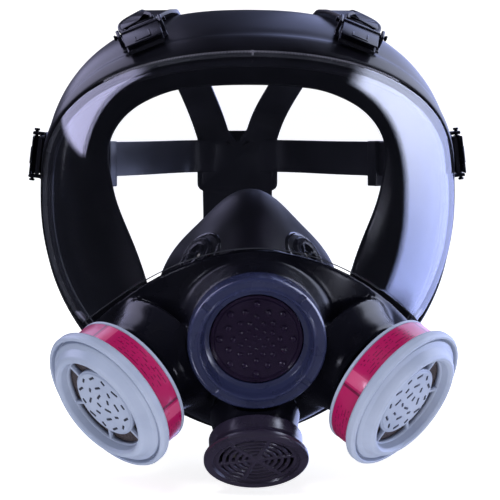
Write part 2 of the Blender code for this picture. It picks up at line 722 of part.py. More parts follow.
half_w, half_h = PAD_WIDTH / 2, PAD_HEIGHT / 2
pad_outline = [
    (-half_w, half_h - 0.002), (-half_w * 0.35, half_h), (0, half_h * 0.35), (half_w * 0.35, half_h),
    (half_w, half_h - 0.002), (half_w, -half_h), (half_w * 0.3, -half_h - 0.004),
    (-half_w * 0.3, -half_h - 0.004), (-half_w, -half_h),
]
pad = bmesh.new()
pad_face = pad.faces.new([pad.verts.new((x, PAD_Y - 0.0015, PAD_Z + z)) for x, z in pad_outline])
pad_block = bmesh.ops.extrude_face_region(pad, geom=[pad_face])
pad_moved = [v for v in pad_block["geom"] if isinstance(v, bmesh.types.BMVert)]
bmesh.ops.translate(pad, verts=pad_moved, vec=(0, 0.003, 0))
head_harness = add_object("head_harness", pad, RUBBER)

BACK = Vector((0, 1, 0))
buckle_spots = {
    "top": (math.radians(33), -0.027), "temple": (math.radians(78), 0.0145), "jaw": (math.radians(135), 0.001),
}


def buckle_frame(kind, side):
    """Place of a buckle: +Y along the strap towards the back of the head and +Z away from the facepiece."""
    phi, y = buckle_spots[kind]
    at = rim_point(phi, y)
    out = dome_normal(Vector((at.x, min(y, -0.0008), at.z)))
    along = (BACK - out * BACK.dot(out)).normalized()
    at = mirrored_x(at + out * (GAP + 0.0002), side)
    out = mirrored_x(out, side)
    along = mirrored_x(along, side)
    across = along.cross(out)
    return Matrix.Translation(at) @ Matrix((across, along, out)).transposed().to_4x4()


STRAP_HEIGHT = BUCKLE_FLOOR + STRAP_CLEAR + STRAP_WALL / 2
PIN_HEIGHT = STRAP_HEIGHT + STRAP_WALL / 2 + 0.0004 + PIN_R * 2
for side_name, side in (("left", 1), ("right", -1)):
    for kind in buckle_spots:
        name = kind + "_" + side_name
        place = buckle_frame(kind, side)
        ear_in = STRAP_WIDTH / 2 + 0.0007
        ear_out = ear_in + BUCKLE_EAR
        base = bmesh.new()
        add_box(base, (ear_out * 2, BUCKLE_LENGTH, BUCKLE_FLOOR), Matrix.Translation((0, 0, BUCKLE_FLOOR / 2)))
        base_object = add_object("buckle_base_" + name, base, BLACK, place)
        ears = bmesh.new()
        ear_height = PIN_HEIGHT + PIN_R * 2
        for ear_side in (1, -1):
            ear_x = ear_side * (ear_in + ear_out) / 2
            ear_place = Matrix.Translation((ear_x, 0, ear_height / 2 + 0.0001))
            add_box(ears, (BUCKLE_EAR, 0.008, ear_height), ear_place)
        boolean(base_object, add_object("ears_" + name, ears, BLACK, place), "UNION")
        across_turn = Matrix.Translation((0, 0, PIN_HEIGHT)) @ Matrix.Rotation(math.pi / 2, 4, "Y")
        bore_length = ear_out + 0.003
        bore = turned("pin_bore_" + name, [
            (0, bore_length), (PIN_R + 0.0003, bore_length), (PIN_R + 0.0003, -bore_length), (0, -bore_length),
        ], BLACK, place @ across_turn, steps=12)
        boolean(base_object, bore, "DIFFERENCE")
        pin_half = ear_out + 0.0006
        turned("buckle_pin_" + name, [
            (0, pin_half + 0.0012), (PIN_R + 0.0009, pin_half + 0.0012), (PIN_R + 0.0009, pin_half),
            (PIN_R, pin_half), (PIN_R, -pin_half), (PIN_R + 0.0009, -pin_half),
            (PIN_R + 0.0009, -pin_half - 0.0012), (0, -pin_half - 0.0012),
        ], STEEL, place @ across_turn, steps=12)
        lever_half = ear_in - 0.0005
        lever = turned("buckle_lever_" + name, [
            (PIN_R + 0.0003, lever_half), (PIN_R * 2, lever_half), (PIN_R * 2, -lever_half),
            (PIN_R + 0.0003, -lever_half),
        ], BLACK, place @ across_turn, steps=12)
        tab = bmesh.new()
        tab_place = Matrix.Translation((0, -LEVER_LENGTH / 2 - PIN_R * 1.33, PIN_HEIGHT + PIN_R * 0.85))
        add_box(tab, (lever_half * 2 - 0.0002, LEVER_LENGTH, PIN_R), tab_place)
        boolean(lever, add_object("tab_" + name, tab, BLACK, place), "UNION")

        here = place @ Vector((0, 0, STRAP_HEIGHT))
        along = place.to_3x3() @ Vector((0, 1, 0))
        out = place.to_3x3() @ Vector((0, 0, 1))
        start = here - along * 0.016
        mouth = here + along * 0.0105
        leave = here + along * 0.0145
        if kind == "top":
            path = [start, here, mouth, leave, Vector((side * 0.0495, 0.004, 0.1235)),
                    Vector((side * 0.0455, 0.028, 0.1210)), Vector((side * 0.0345, 0.085, 0.0985)),
                    Vector((side * 0.0205, PAD_Y - 0.012, PAD_Z + 0.028)),
                    Vector((side * 0.0130, PAD_Y, PAD_Z + 0.006))]
            outs = [out, out, out, out, Vector((0, 0.1, 1)), Vector((0, 0.3, 1)), Vector((0, 0.5, 0.9)),
                    Vector((0, 0.8, 0.5)), BACK]
        elif kind == "temple":
            path = [start, here, mouth, leave,
                    Vector((side * 0.098, 0.045, 0.043)), Vector((side * 0.065, 0.105, 0.041)),
                    Vector((side * 0.034, PAD_Y - 0.010, PAD_Z)), Vector((side * 0.012, PAD_Y, PAD_Z))]
            sideways = Vector((side, 0, 0))
            outs = [out, out, out, out,
                    sideways + BACK * 0.4, sideways + BACK * 0.6, sideways * 0.5 + BACK, BACK]
        else:
            path = [start, here, mouth, leave,
                    Vector((side * 0.076, 0.060, -0.064)), Vector((side * 0.042, 0.125, -0.060)),
                    Vector((side * 0.0145, PAD_Y - 0.006, -0.020)),
                    Vector((side * 0.0115, PAD_Y, PAD_Z - 0.012))]
            sideways = Vector((side, 0, 0))
            outs = [out, out, out, out, sideways + BACK * 0.3, sideways * 0.7 + BACK * 0.8, BACK, BACK]
        boolean(head_harness, strap_object("strap_" + name, path, outs, STRAP_WIDTH), "UNION")
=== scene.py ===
"""The looks of a full face respirator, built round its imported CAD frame.

Metres, +Z up. The wearer is on the +Y side, the mask faces -Y, and +X is the wearer's left side.
"""
import functools
import math

import bmesh
import bpy
from mathutils import Matrix, Vector


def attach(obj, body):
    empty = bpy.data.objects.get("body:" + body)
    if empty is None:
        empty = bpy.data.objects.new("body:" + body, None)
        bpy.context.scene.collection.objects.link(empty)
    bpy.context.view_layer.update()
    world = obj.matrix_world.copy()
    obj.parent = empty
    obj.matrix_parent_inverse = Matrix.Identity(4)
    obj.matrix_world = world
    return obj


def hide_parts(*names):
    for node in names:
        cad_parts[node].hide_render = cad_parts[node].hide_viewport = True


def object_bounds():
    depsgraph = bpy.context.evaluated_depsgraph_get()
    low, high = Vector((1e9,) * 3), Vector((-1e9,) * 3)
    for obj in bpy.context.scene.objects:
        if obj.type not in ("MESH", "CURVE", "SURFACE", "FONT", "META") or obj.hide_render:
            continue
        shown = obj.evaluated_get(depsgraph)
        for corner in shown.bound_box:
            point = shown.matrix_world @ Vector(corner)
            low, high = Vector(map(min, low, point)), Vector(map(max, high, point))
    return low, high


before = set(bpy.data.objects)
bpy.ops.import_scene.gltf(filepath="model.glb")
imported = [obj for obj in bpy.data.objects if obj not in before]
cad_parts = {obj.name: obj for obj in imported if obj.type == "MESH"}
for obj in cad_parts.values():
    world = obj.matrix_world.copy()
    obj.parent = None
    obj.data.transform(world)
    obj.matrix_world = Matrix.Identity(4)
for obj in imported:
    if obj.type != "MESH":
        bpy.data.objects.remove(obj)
cad_low, cad_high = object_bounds()
scene = bpy.context.scene


# The studio: a white floor and a white room, with two big soft panels and two small bright ones that
# only glossy parts mirror: they are the long highlights and the glints on the lens. The camera stands
# level with the face, a metre away, a little above and to the wearer's right.

CAMERA_AIM = Vector((-0.0013, -0.050, 0.0))
CAMERA_AWAY = 1.0
CAMERA_ABOVE = math.radians(5.0)
CAMERA_ASIDE = math.radians(-2.4)
CAMERA_LENS = 139.8
FLOOR_SIZE = 30.0
FLOOR_DROP = 0.001
FLOOR_GLOW = 0.80
ROOM_PALE = (1.18, 1.18, 1.18, 1)
ROOM_FILL = (0.36, 0.37, 0.41, 1)
ROOM_SHINE = (0.030, 0.032, 0.046, 1)
LEFT_PANEL = (-2, 78, -24, 56)
LEFT_PANEL_LOW = (3.2, 3.8, 7.0, 1)
LEFT_PANEL_HIGH = (8.0, 8.6, 10.8, 1)
LEFT_PANEL_FAR = (1.3, 1.5, 2.7, 1)
RIGHT_PANEL = (173, 116, 14, 60)
RIGHT_PANEL_NEAR = (4.7, 4.6, 6.6, 1)
RIGHT_PANEL_FAR = (2.2, 2.2, 3.4, 1)
GLINTS = ((-143, -137, 8, 16), (-45, -39, -16, -8))
GLINT = (24.0, 25.0, 31.0, 1)

camera_back = Vector((
    math.sin(CAMERA_ASIDE) * math.cos(CAMERA_ABOVE),
    -math.cos(CAMERA_ASIDE) * math.cos(CAMERA_ABOVE),
    math.sin(CAMERA_ABOVE),
))
camera_data = bpy.data.cameras.new("camera")
camera_data.lens = CAMERA_LENS
camera = bpy.data.objects.new("camera", camera_data)
camera.location = CAMERA_AIM + camera_back * CAMERA_AWAY
camera.rotation_euler = (-camera_back).to_track_quat("-Z", "Y").to_euler()
scene.collection.objects.link(camera)
scene.camera = camera
scene.view_settings.view_transform = "Standard"


def fill(tree, node, sockets):
    """Gives a node's sockets their numbers and colours, or links them to other nodes."""
    for name, value in sockets.items():
        if isinstance(value, bpy.types.NodeSocket):
            tree.links.new(value, node.inputs[name])
        else:
            node.inputs[name].default_value = value


def add_node(tree, kind, sockets, **settings):
    made = tree.nodes.new("ShaderNode" + kind)
    for name, value in settings.items():
        setattr(made, name, value)
    fill(tree, made, sockets)
    return made


def math_node(tree, operation, a, b=0.0):
    return add_node(tree, "Math", {0: a, 1: b}, operation=operation).outputs["Value"]


def mix_node(tree, share, a, b):
    return add_node(tree, "Mix", {"Factor": share, "A": a, "B": b}, data_type="RGBA").outputs["Result"]


def new_finish(name):
    """A new material, its tree of nodes and its shader."""
    made = bpy.data.materials.new(name)
    made.use_nodes = True
    return made, made.node_tree, made.node_tree.nodes["Principled BSDF"]


room = bpy.data.worlds.new("room")
room.use_nodes = True
scene.world = room
sky = room.node_tree
room_way = add_node(sky, "TexCoord", {}).outputs["Generated"]
room_axes = add_node(sky, "SeparateXYZ", {"Vector": room_way}).outputs
bearing = math_node(sky, "ARCTAN2", room_axes["Y"], room_axes["X"])
height = math_node(sky, "ARCSINE", room_axes["Z"])


def ramp(value, start, end):
    """0 at start and 1 at end, both in degrees, and smooth between them."""
    ends = {"Value": value, "From Min": math.radians(start), "From Max": math.radians(end)}
    return add_node(sky, "MapRange", ends, interpolation_type="SMOOTHSTEP").outputs["Result"]


def panel(shine, near, far, low, high, near_colour, far_colour, soft=3.0, fade=9.0):
    """A soft panel between two bearings, in degrees from the wearer's left, and two heights."""
    turn = 1 if far > near else -1
    inside = ramp(bearing, near - turn * soft, near)
    for edge in (
        ramp(bearing, far + turn * fade, far),
        ramp(height, low - soft, low + soft),
        ramp(height, high + fade / 2, high - fade / 2),
    ):
        inside = math_node(sky, "MULTIPLY", inside, edge)
    return mix_node(sky, inside, shine, mix_node(sky, ramp(bearing, near, far), near_colour, far_colour))


left_near = mix_node(sky, ramp(height, -25, 40), LEFT_PANEL_LOW, LEFT_PANEL_HIGH)
shine = panel(ROOM_SHINE, *LEFT_PANEL, left_near, LEFT_PANEL_FAR, 4.0)
shine = panel(shine, *RIGHT_PANEL, RIGHT_PANEL_NEAR, RIGHT_PANEL_FAR, 1.5)
for glint in GLINTS:
    shine = panel(shine, *glint, GLINT, GLINT, 1.5, 1.5)
paths = add_node(sky, "LightPath", {}).outputs
seen = mix_node(sky, paths["Is Camera Ray"], ROOM_FILL, ROOM_PALE)
fill(sky, sky.nodes["Background"], {"Color": mix_node(sky, paths["Is Glossy Ray"], seen, shine)})


def soft_box(name, at, aim, width, height, watts, colour):
    """A rectangular soft box at a place, turned to face a point, that shines and isn't mirrored."""
    data = bpy.data.lights.new(name, "AREA")
    data.shape = "RECTANGLE"
    data.size = width
    data.size_y = height
    data.energy = watts
    data.color = colour
    lamp = bpy.data.objects.new(name, data)
    lamp.location = at
    lamp.rotation_euler = (Vector(aim) - Vector(at)).to_track_quat("-Z", "Y").to_euler()
    lamp.visible_glossy = False
    scene.collection.objects.link(lamp)


FACE = (0, -0.06, 0)
soft_box("box_overhead", (-0.35, -0.9, 1.4), FACE, 0.9, 0.6, 15, (1.0, 0.99, 0.98))
soft_box("box_side", (1.15, -0.2, 0.5), FACE, 0.75, 1.3, 3.5, (0.80, 0.85, 1.0))

floor_mesh = bmesh.new()
floor_place = Matrix.Translation((0, 0, cad_low.z - FLOOR_DROP))
bmesh.ops.create_grid(floor_mesh, x_segments=1, y_segments=1, size=FLOOR_SIZE / 2, matrix=floor_place)
floor_data = bpy.data.meshes.new("floor")
floor_mesh.to_mesh(floor_data)
floor_mesh.free()
floor = bpy.data.objects.new("floor", floor_data)
scene.collection.objects.link(floor)
floor_paint, floor_tree, floor_shader = new_finish("floor_paint")
fill(floor_tree, floor_shader, {
    "Base Color": (0.97, 0.97, 0.97, 1), "Roughness": 1.0, "Specular IOR Level": 0.0,
    "Emission Color": (1, 1, 1, 1), "Emission Strength": FLOOR_GLOW,
})
floor_data.materials.append(floor_paint)
floor.visible_glossy = False


# Face seal: one moulding of black rubber. It holds the lens and the moulded front in a groove at
# its front lip, goes back past the temples, and turns in to a soft flange that lies on the face.
# The same dome rules as the CAD give its form, and the rubber is finished with a fine grain.

HALF_WIDTH = 0.1107
WIDEST_Z = 0.023
DOME_UP = 0.102
DOME_DOWN = 0.118
DOME_DEPTH = 0.090
DEPTH_FADE_DOWN = 0.200
EDGE_GAP = 0.0012
LENS_WALL = 0.0025
LENS_TOP_Y = -0.050
LENS_TOP_Z = 0.102
LENS_LOW_Z = 0.0035
LENS_CORNER_X = 0.090
LENS_CORNER_Z = -0.042
LENS_CORNER_PHI = math.radians(124.0)
SEAL_WALL = 0.0026
RABBET = 0.005
LIP_PROUD = 0.0012
FRONT_WALL = 0.003
RIM_Y = 0.013
RIM_TEMPLE_EXTRA = 0.009
RIM_CHIN_FORWARD = 0.008
OPENING_KNOTS = [
    (0, 0.0612), (20, 0.0643), (38, 0.0722), (57, 0.0800), (68, 0.0806),
    (84, 0.0738), (109, 0.0668), (125, 0.0690), (150, 0.084), (180, 0.100),
]


def blend(a, b, t):
    return a + (b - a) * t


def fading(z, full, power_up, reach_down):
    """Full at the widest level, and less and less up to the dome's top and down over reach_down."""
    up = z > WIDEST_Z
    power = power_up if up else 2.0
    share = min(abs(z - WIDEST_Z) / (DOME_UP if up else reach_down), 1.0)
    return full * (1 - share**power) ** (1 / power)


def half_width(z):
    return fading(z, HALF_WIDTH, 2.5, DOME_DOWN)


def half_depth(z):
    return fading(z, DOME_DEPTH, 1.75, DEPTH_FADE_DOWN)


def dome_level(x, y, z):
    """Below 1 inside the dome and above 1 outside it; behind y = 0 the dome goes straight back."""
    width = max(half_width(z), 1e-5)
    deep = max(half_depth(z), 1e-5)
    return (x / width) ** 2 + (min(y, 0) / deep) ** 2


def dome_normal(point):
    step = 0.0004
    slope = Vector()
    for i in range(3):
        ahead = point.copy()
        behind = point.copy()
        ahead[i] += step
        behind[i] -= step
        slope[i] = dome_level(*ahead) - dome_level(*behind)
    return slope.normalized()


def on_dome(x, z, inset=0.0):
    share = min(abs(x) / half_width(z), 0.99999)
    point = Vector((x, -half_depth(z) * math.sqrt(1 - share**2), z))
    return point - dome_normal(point) * inset


def front_edge_y(z):
    above = LENS_TOP_Y + 0.75 * (LENS_TOP_Z - z)
    below = -0.020 + 0.55 * (z - LENS_CORNER_Z)
    return min(-0.0015, above, below)


def polar(phi, radius):
    return radius * math.sin(phi), WIDEST_Z + radius * math.cos(phi)


def radius_where(phi, y_of_z):
    """Distance from the dome's middle, in direction phi, at which the dome is at the depth y_of_z(z)."""
    low, high = 0.0, 0.16
    for _ in range(30):
        middle = (low + high) / 2
        x, z = polar(phi, middle)
        if z > WIDEST_Z + DOME_UP or z < WIDEST_Z - DOME_DOWN or dome_level(x, y_of_z(z), z) > 1:
            high = middle
        else:
            low = middle
    return low


def rim_point(phi, y, inset=0.0):
    x, z = polar(phi, radius_where(phi, lambda _: y))
    point = Vector((x, y, z))
    return point - dome_normal(Vector((x, min(y, -0.0008), z))) * inset


@functools.lru_cache(maxsize=None)
def front_edge(phi, ahead=0.0):
    """The point of the dome where the rubber begins, or a distance ahead of it, at angle phi."""
    x, z = polar(phi, radius_where(phi, lambda height: front_edge_y(height) - ahead))
    return Vector((x, front_edge_y(z) - ahead, z))


def opening_radius(phi):
    """How far the face opening's edge is from the dome's middle, on a smooth curve through the knots."""
    angle = abs((math.degrees(phi) + 180) % 360 - 180)
    steps = list(zip(OPENING_KNOTS, OPENING_KNOTS[1:]))
    rises = [(far - near) / (b - a) for (a, near), (b, far) in steps]
    slopes = [0.0] + [(one + other) / 2 for one, other in zip(rises, rises[1:])] + [0.0]
    for i, ((a, near), (b, far)) in enumerate(steps):
        if angle <= b:
            t = (angle - a) / (b - a)
            ease = t * t * (3 - 2 * t)
            leaving = slopes[i] * (b - a) * t * (1 - t) ** 2
            arriving = slopes[i + 1] * (b - a) * t * t * (t - 1)
            return blend(near, far, ease) + leaving + arriving
    return OPENING_KNOTS[-1][1]


def grid_sheet(bm, point, across, along):
    """Adds a grid whose vertex at (u, v), each from 0 to 1, goes to point(u, v)."""
    grid = bmesh.ops.create_grid(bm, x_segments=across, y_segments=along, size=0.5)
    for vert in grid["verts"]:
        vert.co = point(vert.co.x + 0.5, vert.co.y + 0.5)
    return grid["verts"]


def piece(name, bm, finish, body, *nodes, slot=None, sharp=38.0):
    """Makes a bmesh a piece that rides on a body and stands for some CAD nodes."""
    mesh = bpy.data.meshes.new(name)
    bm.to_mesh(mesh)
    bm.free()
    mesh.shade_smooth()
    mesh.set_sharp_from_angle(angle=math.radians(sharp))
    made = bpy.data.objects.new(name, mesh)
    scene.collection.objects.link(made)
    for one in finish if isinstance(finish, list) else [finish]:
        mesh.materials.append(one)
    if body:
        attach(made, body)
    if nodes:
        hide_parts(*nodes)
    return made


def outward(bm):
    """Merges what meets and turns every face outwards."""
    bmesh.ops.remove_doubles(bm, verts=bm.verts, dist=1e-6)
    bmesh.ops.recalc_face_normals(bm, faces=bm.faces)
    return bm


def settle(made):
    """Gives an object the mesh that its modifiers make, and takes the modifiers away."""
    bpy.context.view_layer.update()
    graph = bpy.context.evaluated_depsgraph_get()
    mesh = bpy.data.meshes.new_from_object(made.evaluated_get(graph), depsgraph=graph)
    mesh.name = made.name
    made.modifiers.clear()
    made.data = mesh
    return made


def two_tones(tree, share, start, tone, end, other):
    """One tone up to start, another from end on, and a blend between them."""
    tones = add_node(tree, "ValToRGB", {"Fac": share})
    for stop, at, colour in zip(tones.color_ramp.elements, (start, end), (tone, other)):
        stop.position = at
        stop.color = (*colour, 1)
    return tones.outputs["Color"]


def moulded(name, colour, drift, rough, grain, relief, coat=0.0, coat_rough=0.1, shine=0.5):
    """A moulded surface: two tones that drift into each other, gloss that varies, and a fine grain.

    colour and drift are the two tones, rough is the range of its roughness, grain is how many
    grains there are to a metre, and relief is how far they stand up, in millimetres.
    """
    made, tree, shader = new_finish(name)
    where = add_node(tree, "TexCoord", {}).outputs["Object"]
    cloud = add_node(tree, "TexNoise", {"Vector": where, "Scale": 35.0, "Detail": 4.0}).outputs["Fac"]
    grains = add_node(tree, "TexNoise", {"Vector": where, "Scale": grain, "Detail": 3.0}).outputs["Fac"]
    gloss = add_node(tree, "MapRange", {
        "Value": cloud, "From Min": 0.3, "From Max": 0.7, "To Min": rough[0], "To Max": rough[1],
    })
    bump = add_node(tree, "Bump", {"Height": grains, "Strength": 0.6, "Distance": relief * 0.001})
    fill(tree, shader, {
        "Base Color": two_tones(tree, cloud, 0.35, colour, 0.68, drift), "Roughness": gloss.outputs["Result"],
        "Normal": bump.outputs["Normal"], "Specular IOR Level": shine, "Coat Weight": coat,
        "Coat Roughness": coat_rough,
    })
    return made


RUBBER = moulded("black_rubber", (0.003, 0.003, 0.005), (0.006, 0.006, 0.010), (0.30, 0.42), 2600, 0.05,
                 coat=0.12, coat_rough=0.20, shine=0.12)

SEAL_AROUND = 144


def seal_section(phi):
    """One slice of the rubber, from the outside of the lip, back and in to the flange and forward again."""
    edge = front_edge(phi)
    back = rear_rim_y(phi)
    flange = rim_point(phi, 0)
    reach = math.hypot(flange.x, flange.z - WIDEST_Z) - 0.003
    inner = opening_radius(phi)
    seat = LENS_WALL + EDGE_GAP

    def wall(share, inset):
        return rim_point(phi, blend(edge.y, back, share), inset)

    def turned_in(share, rise):
        x, z = polar(phi, blend(reach, inner, share))
        return Vector((x, back + rise, z))

    return [
        wall(0.00, -LIP_PROUD * 0.5), wall(0.02, -LIP_PROUD), wall(0.13, -LIP_PROUD),
        wall(0.16, -LIP_PROUD * 0.6), wall(0.18, 0), wall(0.22, 0.0002), wall(0.27, 0), wall(0.50, 0),
        wall(0.78, 0), wall(0.93, 0.0002), wall(1.0, 0.0012),
        turned_in(0.06, 0.0022), turned_in(0.3, 0.0030),
        turned_in(0.6, 0.0028), turned_in(0.86, 0.0002), turned_in(0.98, -0.0028),
        turned_in(1.0, -0.0044), turned_in(0.97, -0.0052), turned_in(0.85, -0.0026),
        turned_in(0.6, 0.0002), turned_in(0.3, 0.0002), turned_in(0.12, -0.0018),
        wall(0.72, SEAL_WALL + 0.001), wall(0.45, SEAL_WALL + 0.001), wall(0.25, SEAL_WALL + seat),
        rim_point(phi, edge.y - RABBET * 0.9, seat + SEAL_WALL * 0.9),
        rim_point(phi, edge.y - RABBET, seat + SEAL_WALL * 0.5), rim_point(phi, edge.y - RABBET, seat),
        wall(0.0, seat), wall(-0.005, -LIP_PROUD * 0.1),
    ]


def rear_rim_y(phi):
    chin = ((1 - math.cos(phi)) / 2) ** 4
    return RIM_Y + RIM_TEMPLE_EXTRA * math.sin(phi) ** 2 - RIM_CHIN_FORWARD * chin


seal_slices = [seal_section(math.tau * i / SEAL_AROUND) for i in range(SEAL_AROUND)]
SLICE = len(seal_slices[0])


def seal_point(u, v):
    return seal_slices[round(u * SEAL_AROUND) % SEAL_AROUND][round(v * SLICE) % SLICE]


seal_mesh = bmesh.new()
grid_sheet(seal_mesh, seal_point, SEAL_AROUND, SLICE)
seal = piece("seal_moulding", outward(seal_mesh), RUBBER, "facepiece", "face_seal", slot="black_rubber",
             sharp=60)
softer = seal.modifiers.new("soft", "SUBSURF")
softer.levels = softer.render_levels = 1


# Lens: a single clear polycarbonate dome, 2.5 mm thick, moulded with a curve in both directions.
# Its edge is trimmed and sits in the groove of the rubber and of the front. Its cut faces are an
# opaque grey a little lighter than the rubber: partly a slightly frosted edge, and partly a painted
# highlight of the light that the edge catches. Its top edge shows a row of fine moulded teeth, with a
# mark at the middle. The teeth and the mark are painted a pale grey, a painted highlight of the bright
# strip along that edge.

LENS_ACROSS = 150
LENS_UP = 44
LENS_TRIM = 0.985
PANE_GLOSS = 0.045
PANE_TINT = (0.975, 0.977, 0.985, 1)
PANE_MIRROR = (0.93, 0.94, 1.0, 1)
BARE_SHINE = 0.045
EDGE_SHINE = 0.42


def lens_low_z(x):
    return LENS_LOW_Z + (LENS_CORNER_Z - LENS_LOW_Z) * (x / LENS_CORNER_X) ** 2


def lens_at(inset):
    def point(u, v):
        side = 2 * u - 1
        top = front_edge(side * LENS_CORNER_PHI * LENS_TRIM, EDGE_GAP * 1.5)
        low_x = side * LENS_CORNER_X * LENS_TRIM
        rise = math.sin(v * math.pi / 2)
        return on_dome(blend(low_x, top.x, rise), blend(lens_low_z(low_x) + 0.0004, top.z, rise), inset)
    return point


def thick_sheet(outer, inner, across, along, ease=0.0):
    """A closed shell between an outer and an inner sheet, with its rim in its second material."""
    bm = bmesh.new()
    loops = []
    for point in (outer, inner):
        made = set(grid_sheet(bm, point, across, along))
        loops += [edge for edge in bm.edges if edge.is_boundary and edge.verts[0] in made]
    rim = bmesh.ops.bridge_loops(bm, edges=loops)["faces"]
    for face in rim:
        face.material_index = 1
    outward(bm)
    if ease:
        corners = [edge for edge in bm.edges if len({face.material_index for face in edge.link_faces}) == 2]
        bmesh.ops.bevel(bm, geom=corners, offset=ease, affect="EDGES", segments=2, profile=0.5, material=1)
    return bm


def clear_pane():
    """Clear plastic seen straight through, that mirrors the room more as it turns away."""
    made, tree, shader = new_finish("clear_lens")
    tree.nodes.remove(shader)
    where = add_node(tree, "TexCoord", {}).outputs["Object"]
    ripple = add_node(tree, "TexNoise", {"Vector": where, "Scale": 28.0, "Detail": 1.0}).outputs["Fac"]
    bump = add_node(tree, "Bump", {"Height": ripple, "Strength": 0.25, "Distance": 0.0004})
    facing = add_node(tree, "LayerWeight", {"Blend": 0.5}).outputs["Facing"]
    steep = math_node(tree, "POWER", facing, 3.5)
    share = add_node(tree, "MapRange", {"Value": steep, "To Min": BARE_SHINE, "To Max": EDGE_SHINE})
    through = add_node(tree, "BsdfTransparent", {"Color": PANE_TINT})
    mirror = add_node(tree, "BsdfGlossy", {
        "Color": PANE_MIRROR, "Roughness": PANE_GLOSS, "Normal": bump.outputs["Normal"],
    })
    both = add_node(tree, "MixShader", {
        "Fac": share.outputs["Result"], 1: through.outputs["BSDF"], 2: mirror.outputs["BSDF"],
    })
    fill(tree, tree.nodes["Material Output"], {"Surface": both.outputs["Shader"]})
    return made


LENS = clear_pane()
# The lens's cut edge is an opaque grey, a little lighter than the rubber: partly a frosted edge and partly a
# painted highlight of the light the edge catches.
LENS_EDGE_FROST_AND_HIGHLIGHT = moulded("lens_edge_frost_and_highlight", (0.025, 0.026, 0.034), (0.04, 0.042, 0.055), (0.2, 0.35), 900, 0.03, 0.2)
lens_mesh = thick_sheet(lens_at(0.0), lens_at(LENS_WALL), LENS_ACROSS, LENS_UP, 0.0005)
piece("lens_dome", lens_mesh, [LENS, LENS_EDGE_FROST_AND_HIGHLIGHT], "facepiece", "lens", slot="clear_lens")

COMB_REACH = math.radians(50)
COMB_TEETH = 190
COMB_TOOTH = (0.00045, 0.0013, 0.0006, 1)
# The teeth and the middle mark are painted pale grey: a painted highlight of the bright strip along the
# lens's top edge.
COMB_PAINTED_HIGHLIGHT = moulded("lens_comb_painted_highlight", (0.10, 0.10, 0.13), (0.15, 0.15, 0.19), (0.25, 0.4), 900, 0.03)


def frame_at(origin, x, y, z):
    """A frame at origin with its axes along x, y and z."""
    return Matrix.Translation(origin) @ Matrix((x, y, z)).transposed().to_4x4()


def edge_place(phi, ahead):
    """A frame on the lens's top edge: +X along the edge, +Y back over the rubber, +Z out of it."""
    at = front_edge(phi, ahead)
    out = dome_normal(at)
    along = (front_edge(phi + 0.02, ahead) - front_edge(phi - 0.02, ahead)).normalized()
    return frame_at(at, along, out.cross(along), out)


comb_mesh = bmesh.new()
for i in range(COMB_TEETH + 1):
    tooth_place = edge_place(blend(-COMB_REACH, COMB_REACH, i / COMB_TEETH), 0.0009)
    bmesh.ops.create_cube(comb_mesh, size=1, matrix=tooth_place @ Matrix.Diagonal(COMB_TOOTH))
for long, deep in ((0.0010, 0.0042), (0.0032, 0.0010)):
    mark = edge_place(0.0, 0.0012) @ Matrix.Diagonal((long, deep, 0.0009, 1))
    bmesh.ops.create_cube(comb_mesh, size=1, matrix=mark)
piece("lens_comb_painted_highlight", comb_mesh, COMB_PAINTED_HIGHLIGHT, "facepiece", slot="black_rubber")


# Front moulding: a stiff black shell, the lower part of the dome, with a round collar for the
# voice port, a neck for the outlet and two wide bosses for the cartridges. It is moulded in one
# with soft fillets, polished, and bored out for its fittings afterwards.

SPEECH_AT = Vector((0, -0.105, -0.042))
SPEECH_OUT = Vector((0, -0.9767, -0.2147))
SPEECH_R = 0.0342
SPEECH_DISC_R = 0.0228
SPEECH_DEPTH = 0.009
SPEECH_RING_THICK = 0.011
OUTLET_AT = Vector((0, -0.095, -0.102))
OUTLET_OUT = Vector((0, -0.6652, -0.7466))
OUTLET_R = 0.0262
OUTLET_NECK_R = 0.021
INLET_AT = Vector((0.075, -0.092, -0.072))
INLET_OUT = Vector((0.6694, -0.5693, -0.4773))
CAN_R = 0.0346
CAN_DEPTH = 0.0198
FLANGE_FRONT = -(CAN_DEPTH + 0.0028)
BOSS_FRONT = FLANGE_FRONT - 0.0034
BOSS_R = 0.027
BARREL_R = 0.0192
COLLAR_FRONT = -(SPEECH_RING_THICK + 0.0004)
SIDES = (("left", 1), ("right", -1))


def aim_place(origin, out):
    """A frame at origin with +Z along out and +Y as near to upright as it can be."""
    z = out.normalized()
    x = Vector((0, 0, 1)).cross(z).normalized()
    return frame_at(origin, x, z.cross(x), z)


def on_side(vector, side):
    return Vector((vector.x * side, vector.y, vector.z))


speech_place = aim_place(SPEECH_AT, SPEECH_OUT)
outlet_place = aim_place(OUTLET_AT, OUTLET_OUT)
inlet_places = {name: aim_place(on_side(INLET_AT, side), on_side(INLET_OUT, side)) for name, side in SIDES}


def eased(corners, radius, steps=3):
    """The same outline with each corner off the axis turned on a small radius."""
    found = []
    for i, corner in enumerate(corners):
        here = Vector(corner)
        before = Vector(corners[i - 1]) - here
        after = Vector(corners[(i + 1) % len(corners)]) - here
        if here.x == 0 or radius == 0:
            found.append(here)
            continue
        start = here + before.normalized() * min(radius, before.length * 0.45)
        end = here + after.normalized() * min(radius, after.length * 0.45)
        for j in range(steps + 1):
            t = j / steps
            found.append(start * (1 - t) ** 2 + here * 2 * t * (1 - t) + end * t**2)
    return found


